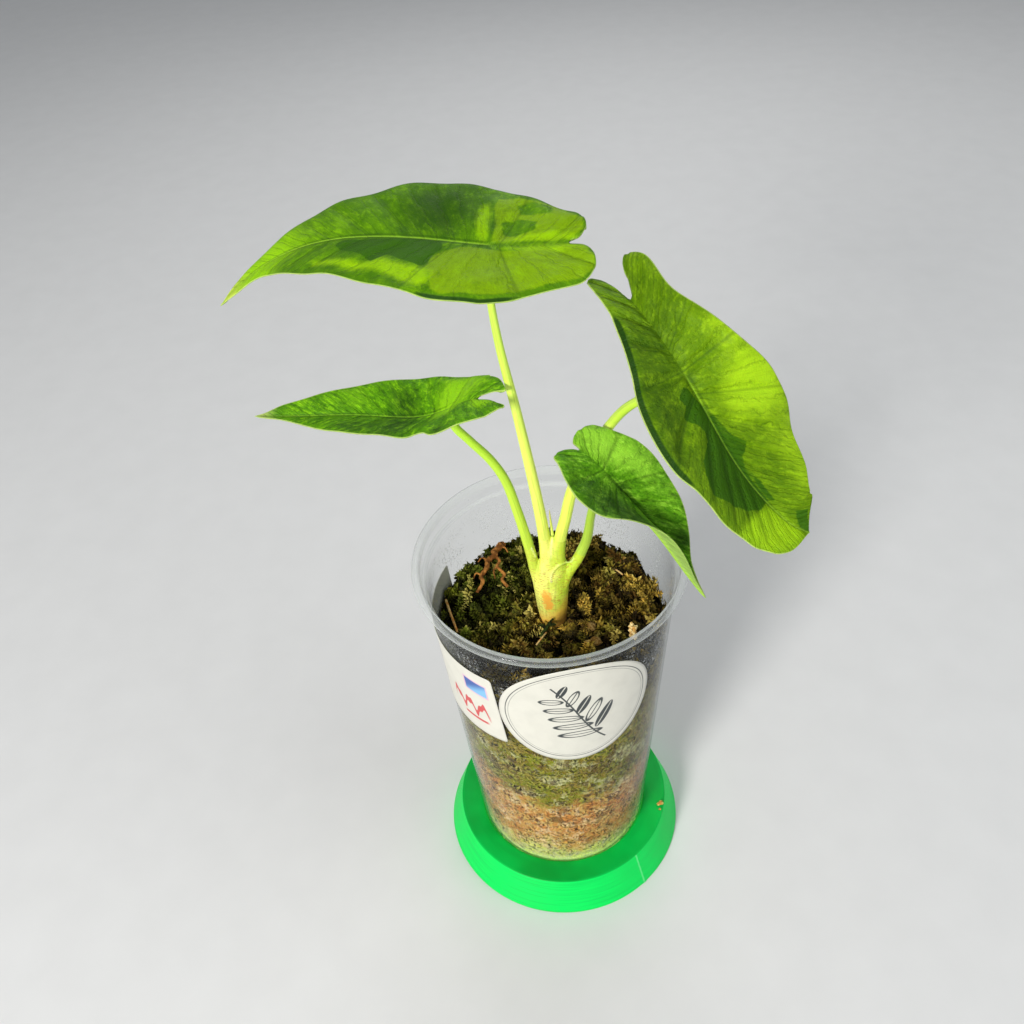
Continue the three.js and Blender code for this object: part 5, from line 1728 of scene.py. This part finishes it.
def crumb(middle, half, turn, seed, fine=4):
    """A knobbly crumb: its points and faces."""
    work = bmesh.new()
    bmesh.ops.create_icosphere(work, subdivisions=fine, radius=1)
    points = np.array([v.co for v in work.verts])
    faces = [tuple(v.index for v in face.verts) for face in work.faces]
    work.free()
    x, y, z = points.T
    knob = 0.8 + 0.2 * np.sin(4.1 * x + 1.7 * z + turn)
    knob += 0.2 * ripples(x * 3.1, y * 3.1, z * 3.1, seed)
    knob += 0.07 * ripples(x * 9, y * 9, z * 9, seed + 1)
    x, y, z = (points * np.minimum(knob, 1.0)[:, None] * np.array(half)).T
    c, s = math.cos(math.radians(turn)), math.sin(math.radians(turn))
    return np.stack([x * c - y * s, x * s + y * c, z], 1) + np.array(middle), faces


def knotty(size):
    """The radius of a dry stem with knots and ribs."""
    return lambda u, a: size(u) * (1 + 0.14 * math.sin(3 * a + 31 * u) + 0.12 * math.sin(70 * u + 2 * a))


def stick(line, size, sides, steps):
    """A dry knotted stem. size gives its radius at a share of its length."""
    return skin(rings_along(curve_through(lifted(line)), knotty(size), sides, steps))


def build_twig(colours):
    """The forked dry twig, the straw and the scraps, lying on the moss."""
    bark = dead_finish("twig_bark", colours.twig, colours.twig_dark)
    thick, thin = TWIG["thick"], TWIG["thin"]
    parts = [stick(TWIG["line"], lambda u: thick + (thin - thick) * u, 18, 90)]
    parts.append(stick(TWIG["branch"], lambda u: thin, 14, 60))
    parts += [stick(line, lambda u: 0.42 - 0.2 * u, 8, 30) for line in TWIG["rootlets"]]
    for share, size, turn in TWIG["knots"]:
        middle, _ = place_on(curve_through(lifted(TWIG["line"])), share)
        parts.append(crumb(middle, (size, size * 0.7, size * 0.62), turn, share * 9))
    points, faces = joined(parts)
    settle(make_piece("dry_twig", laid(points), faces, bark), "twig", "dead_twig")
    pale = dead_finish("straw_skin", colours.straw, colours.twig, 0.8)
    points, faces = skin(rings_along(curve_through(lifted(STRAW)), lambda u, a: 0.45, 12, 40))
    settle(make_piece("dry_straw", laid(points), faces, pale), "straw", "pale_straw")
    points, faces = joined([stick(line, lambda u: 0.3, 8, 24) for line in SCRAPS])
    settle(make_piece("dry_scraps", points, faces, pale), "straw")


def build_sprig(colours):
    """A dark green sprig standing against the stem's foot."""
    dark = dead_finish("sprig_skin", colours.sprig, colours.moss_dark_and_hollow_shade, 0.8)
    points, faces = joined([stick(line, lambda u: 0.85 - 0.55 * u, 10, 36) for line in SPRIG])
    settle(make_piece("moss_sprig", points, faces, dark), "moss")


def build_wall_crumb(colours):
    """A clump of pale golden grains stuck to the inside of the wall."""
    chance = np.random.default_rng(5)
    gold = dead_finish("gold_crumb", colours.gold, colours.gold_dark, 0.6)
    half = np.array(WALL_CRUMB["half"])
    r = wall_radius(WALL_CRUMB["middle"]) - CUP["wall"] - FIT - half[1]
    turn = math.radians(WALL_CRUMB["turn"])
    parts = []
    for k in range(64):
        way = chance.normal(0, 1, 3)
        way /= np.linalg.norm(way)
        x, y, z = way * half * chance.uniform(0.3, 0.86)
        grain = chance.uniform(0.4, 0.75)
        east = (r + y) * math.sin(turn) + x * math.cos(turn)
        north = -(r + y) * math.cos(turn) + x * math.sin(turn)
        size = (grain, grain * 0.8, grain * 0.9)
        place = (east, north, WALL_CRUMB["middle"] + z)
        parts.append(crumb(place, size, chance.uniform(0, 180), k * 0.7, 3))
    points, faces = joined(parts)
    settle(make_piece("gold_wall_crumb", points, faces, gold), "gold_crumb", "wall_crumb")


def build_bits(sizes, colours):
    """The dead twig, the straw and the crumbs."""
    build_twig(colours)
    build_sprig(colours)
    build_wall_crumb(colours)
    pale = dead_finish("crumb_skin", colours.crumb, colours.moss_brown, 0.9)
    for name, node, slot, at, above, half, turn in (
        ("stem_crumb", "pale_crumb_at_stem", "crumb", (13.4, -5), 0.6, (2.6, 2.1, 1.6), 20),
        ("bark_flake", "bark_chip", "bark", (13.6, -15), 0.7, (3.4, 2, 1.6), 12),
    ):
        points, faces = crumb((at[0], at[1], MOSS["top"] + above), half, turn, 1.7)
        settle(make_piece(name, laid(points), faces, pale), slot, node)
    grit = dead_finish("stand_grit", colours.moss_light_and_highlight, colours.twig, 0.6)
    for name, node, at, half, turn in (
        ("grit_large", "stand_crumb_1", (41.2, -10.7), (1.7, 1.1, 0.8), 25),
        ("grit_small", "stand_crumb_2", (40.7, -13.4), (0.6, 0.5, 0.45), 0),
    ):
        points, faces = crumb((at[0], at[1], 0), half, turn, 0.9)
        points[:, 2] += STAND["height"] + 0.02 - points[:, 2].min()
        settle(make_piece(name, points, faces, grit), "stand_crumb", node)


# The stage


# Metres and degrees, fitted to the photograph.
CAMERA = {
    "at": (0, -0.2467, 0.4096),
    "pitch": 42.78,
    "yaw": -2.63,
    "roll": -5.15,
    "lens": 36.07,
}


def area_light(name, at, aim, size, power, tint):
    """A round soft light aimed at a place."""
    data = bpy.data.lights.new(name, "AREA")
    data.shape = "DISK"
    data.size = size
    data.energy = power
    data.color = tint
    lamp = bpy.data.objects.new(name, data)
    lamp.location = at
    lamp.rotation_euler = (Vector(aim) - Vector(at)).to_track_quat("-Z", "Y").to_euler()
    bpy.context.scene.collection.objects.link(lamp)


def build_stage(look):
    """The floor, the soft lights, the plain surroundings and the camera at the photograph's angle."""
    scene = bpy.context.scene
    finish = Finish("pale_floor", Roughness=0.7, Specular_IOR_Level=0.2)
    where = finish.node("ShaderNodeTexCoord", output=3)
    grain = finish.grain(where, 0.02, 3)
    finish.set("Base Color", finish.mix(grain, (0.66, 0.66, 0.65, 1), (0.71, 0.71, 0.70, 1)))
    mesh = bpy.data.meshes.new("floor")
    mesh.from_pydata([(-4, -4, 0), (4, -4, 0), (4, 4, 0), (-4, 4, 0)], [], [(0, 1, 2, 3)])
    mesh.materials.append(finish.material)
    floor = bpy.data.objects.new("floor", mesh)
    scene.collection.objects.link(floor)

    area_light("key_light", (-0.62, -1.0, 0.74), (0, 0, 0.14), 0.34, look.key_power, (1, 0.985, 0.96))
    area_light("fill_light", (0.75, -0.3, 0.8), (0, 0, 0.15), 0.9, look.fill_power, (0.95, 0.98, 1))
    area_light("back_light", (0.1, 0.8, 0.8), (0, 0, 0.2), 0.8, look.fill_power, (1, 1, 1))
    world = bpy.data.worlds.new("studio")
    world.use_nodes = True
    world.node_tree.nodes["Background"].inputs["Color"].default_value = (0.9, 0.94, 1, 1)
    world.node_tree.nodes["Background"].inputs["Strength"].default_value = look.sky
    scene.world = world
    scene.view_settings.view_transform = "Standard"

    data = bpy.data.cameras.new("photo_camera")
    data.sensor_width = 36
    data.lens = CAMERA["lens"]
    data.clip_start = 0.01
    camera = bpy.data.objects.new("photo_camera", data)
    pitch, yaw, roll = (math.radians(CAMERA[k]) for k in ("pitch", "yaw", "roll"))
    forward = Vector((math.sin(yaw) * math.cos(pitch), math.cos(yaw) * math.cos(pitch), -math.sin(pitch)))
    level = Vector((math.cos(yaw), -math.sin(yaw), 0))
    upright = level.cross(forward)
    right = level * math.cos(roll) + upright * math.sin(roll)
    up = upright * math.cos(roll) - level * math.sin(roll)
    turn = Matrix((right, up, -forward)).transposed()
    camera.matrix_world = Matrix.Translation(CAMERA["at"]) @ turn.to_4x4()
    scene.collection.objects.link(camera)
    scene.camera = camera


# What a user can change


def shade(name, description, rgb):
    return FloatVectorProperty(
        name=name, description=description, subtype="COLOR", size=4, min=0, max=1, default=colour(*rgb)
    )


class AlocasiaSizes(PropertyGroup):
    tuft_count: IntProperty(
        name="Moss tufts",
        description="How many tufts each half of the moss's top carries, and as many again against the wall",
        default=2900,
        min=100,
        max=3100,
    )
    stem_count: IntProperty(
        name="Moss stems",
        description="How many curling stems each half of the moss's top carries",
        default=290,
        min=10,
        max=310,
    )
    blade_thickness: FloatProperty(
        name="Blade thickness",
        description="Thickness of the leaf blades between their veins",
        default=0.00044,
        min=0.0002,
        max=0.0007,
        precision=5,
        subtype="DISTANCE",
        unit="LENGTH",
    )


class AlocasiaColours(PropertyGroup):
    leaf_dark: shade("Leaf, dark", "The dark sectors", (52, 97, 4))
    leaf_deep: shade("Leaf, deepest", "Furrows, nerves and shaded places", (32, 66, 6))
    leaf_fold: shade("Leaf, folded margin", "The shaded band inside a rolled margin", (22, 56, 8))
    leaf_tip: shade("Leaf tip", "The pale tips, where a blade has no shade of its own", (200, 236, 80))
    leaf_vein: shade("Leaf veins", "Midrib and strong veins", (160, 206, 60))
    leaf_edge: shade("Leaf margin", "The thin pale margin", (184, 206, 110))
    leaf_under: shade("Leaf, underside", "The matt underside", (146, 175, 90))
    petiole_line: shade("Stalk lines", "The lengthwise lines", (150, 180, 60))
    crown: shade("Crown", "The stem's foot", (250, 252, 124))
    crown_green: shade("Crown, green", "Its greener side", (200, 224, 62))
    scar: shade("Scar", "The old leaf's scar", (250, 180, 72))
    crown_foot: shade("Crown foot", "Where the crown goes into the moss", (104, 70, 30))
    speckle: shade("Speckles", "Reddish dashes on the stalks", (176, 92, 40))
    moss_brown: shade("Moss, brown", "The top's brown", (112, 80, 30))
    moss_olive: shade("Moss, olive", "The olive parts", (140, 134, 42))
    moss_green: shade("Moss, green", "The greener parts", (92, 116, 18))
    moss_gold: shade("Moss, gold", "The gold clumps", (226, 184, 74))
    # Also a painted highlight on the tips of moss leaves and on the lightest clumps.
    moss_light_and_highlight: shade("Moss, light", "Light leaves", (238, 218, 122))
    # Also the painted shade in the moss's hollows, creases and leaf roots.
    moss_dark_and_hollow_shade: shade("Moss, dark", "The hollows", (18, 15, 3))
    side_olive: shade("Side, olive", "The olive layer against the wall", (150, 132, 44))
    side_green: shade("Side, green", "The yellow-green parts of the side", (142, 146, 20))
    side_white: shade("Side, whitish", "Whitish moss against the wall", (216, 214, 160))
    side_brown: shade("Side, brown", "Brown gaps in the side", (96, 68, 30))
    side_tan: shade("Side, tan", "The tan parts of the rusty layer", (220, 178, 92))
    side_rust: shade("Side, rust", "The rusty layer low down", (214, 142, 62))
    side_pink: shade("Side, pinkish", "Pale bits of the rusty layer", (252, 216, 160))
    side_pale: shade("Side, pale green", "The palest layer at the bottom", (232, 238, 118))
    stand: shade("Stand", "The printed stand", (0, 152, 52))
    # Also the painted light on the stand's side.
    stand_light_and_lit_side: shade("Stand, light", "Its lighter parts", (0, 240, 100))
    stand_dark: shade("Stand, dark", "Its darker streaks", (0, 150, 56))
    # Also the colour of the painted highlights and edge reflections on the cup.
    cup: shade("Cup", "The clear plastic's gloss", (236, 240, 238))
    paper: shade("Paper", "The labels", (214, 212, 200))
    paper_worn: shade("Paper, worn", "Greyer creased paper", (190, 188, 177))
    ink: shade("Ink", "The drawing on the round label", (30, 40, 44))
    print_blue: shade("Print, blue", "The block on the price label", (40, 84, 160))
    print_sky: shade("Print, light blue", "The block's lighter end", (120, 180, 224))
    pen: shade("Pen", "The red pen on the price label", (200, 40, 50))
    sprig: shade("Sprig", "The dark sprig against the stem", (46, 62, 14))
    twig: shade("Twig", "The dead twig", (196, 132, 64))
    twig_dark: shade("Twig, dark", "Its dark bark", (112, 68, 28))
    straw: shade("Straw", "Straw and dry scraps", (214, 184, 122))
    crumb: shade("Crumb", "The crumbs beside the stem", (170, 140, 84))
    gold: shade("Crumb, gold", "The clump of grains on the wall", (252, 230, 168))
    gold_dark: shade("Crumb, dark gold", "The darker grains", (206, 156, 76))


class AlocasiaLook(PropertyGroup):
    key_power: FloatProperty(
        name="Key light", description="Power of the main light", default=18, min=0, unit="POWER"
    )
    fill_power: FloatProperty(
        name="Fill light", description="Power of each soft light", default=3, min=0, unit="POWER"
    )
    sky: FloatProperty(name="Surroundings", description="Strength of the even light", default=0.32, min=0)


def done(context, build):
    """Runs a build function with the scene's sizes and colours."""
    build(context.scene.alocasia_sizes, context.scene.alocasia_colours)
    return {"FINISHED"}


class ALOCASIA_OT_stand(Operator):
    """Builds the round printed stand"""
    bl_idname = "alocasia.stand"
    bl_label = "Stand"

    def execute(self, context):
        return done(context, build_stand)


class ALOCASIA_OT_cup(Operator):
    """Builds the clear cup"""
    bl_idname = "alocasia.cup"
    bl_label = "Cup"

    def execute(self, context):
        return done(context, build_cup)


class ALOCASIA_OT_labels(Operator):
    """Lays the round label and the price label on the cup"""
    bl_idname = "alocasia.labels"
    bl_label = "Labels"

    def execute(self, context):
        return done(context, build_labels)


class ALOCASIA_OT_moss(Operator):
    """Fills the cup with moss and grows leafy tufts over it"""
    bl_idname = "alocasia.moss"
    bl_label = "Moss"

    def execute(self, context):
        return done(context, build_moss)


class ALOCASIA_OT_crown(Operator):
    """Grows the crown at the stem's foot"""
    bl_idname = "alocasia.crown"
    bl_label = "Crown"

    def execute(self, context):
        return done(context, build_crown)


class ALOCASIA_OT_petioles(Operator):
    """Grows the four leaf stalks and the new leaf's tip"""
    bl_idname = "alocasia.petioles"
    bl_label = "Petioles"

    def execute(self, context):
        return done(context, build_petioles)


class ALOCASIA_OT_blades(Operator):
    """Grows the four variegated blades"""
    bl_idname = "alocasia.blades"
    bl_label = "Blades"

    def execute(self, context):
        return done(context, build_blades)


class ALOCASIA_OT_bits(Operator):
    """Lays the dead twig, the straw and the crumbs"""
    bl_idname = "alocasia.bits"
    bl_label = "Twig and crumbs"

    def execute(self, context):
        return done(context, build_bits)


class ALOCASIA_OT_stage(Operator):
    """Sets up the floor, the lights and the camera"""
    bl_idname = "alocasia.stage"
    bl_label = "Stage"

    def execute(self, context):
        build_stage(context.scene.alocasia_look)
        return {"FINISHED"}


STEPS = ("stand", "cup", "labels", "moss", "crown", "petioles", "blades", "bits", "stage")


class ALOCASIA_PT_sidebar(Panel):
    """The steps and what can be changed"""
    bl_idname = "ALOCASIA_PT_sidebar"
    bl_label = "Alocasia"
    bl_space_type = "VIEW_3D"
    bl_region_type = "UI"
    bl_category = "Alocasia"

    def draw(self, context):
        for step in STEPS:
            self.layout.operator("alocasia." + step)
        scene = context.scene
        for group in (scene.alocasia_sizes, scene.alocasia_colours, scene.alocasia_look):
            box = self.layout.box()
            for name in group.__annotations__:
                box.prop(group, name)


CLASSES = (
    AlocasiaSizes,
    AlocasiaColours,
    AlocasiaLook,
    ALOCASIA_OT_stand,
    ALOCASIA_OT_cup,
    ALOCASIA_OT_labels,
    ALOCASIA_OT_moss,
    ALOCASIA_OT_crown,
    ALOCASIA_OT_petioles,
    ALOCASIA_OT_blades,
    ALOCASIA_OT_bits,
    ALOCASIA_OT_stage,
    ALOCASIA_PT_sidebar,
)


def register():
    for item in CLASSES:
        bpy.utils.register_class(item)
    bpy.types.Scene.alocasia_sizes = PointerProperty(type=AlocasiaSizes)
    bpy.types.Scene.alocasia_colours = PointerProperty(type=AlocasiaColours)
    bpy.types.Scene.alocasia_look = PointerProperty(type=AlocasiaLook)


def unregister():
    del bpy.types.Scene.alocasia_look
    del bpy.types.Scene.alocasia_colours
    del bpy.types.Scene.alocasia_sizes
    for item in reversed(CLASSES):
        bpy.utils.unregister_class(item)


def main():
    """Builds everything."""
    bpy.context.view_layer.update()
    register()
    for step in STEPS:
        getattr(bpy.ops.alocasia, step)()


if __name__ == "__main__":
    main()
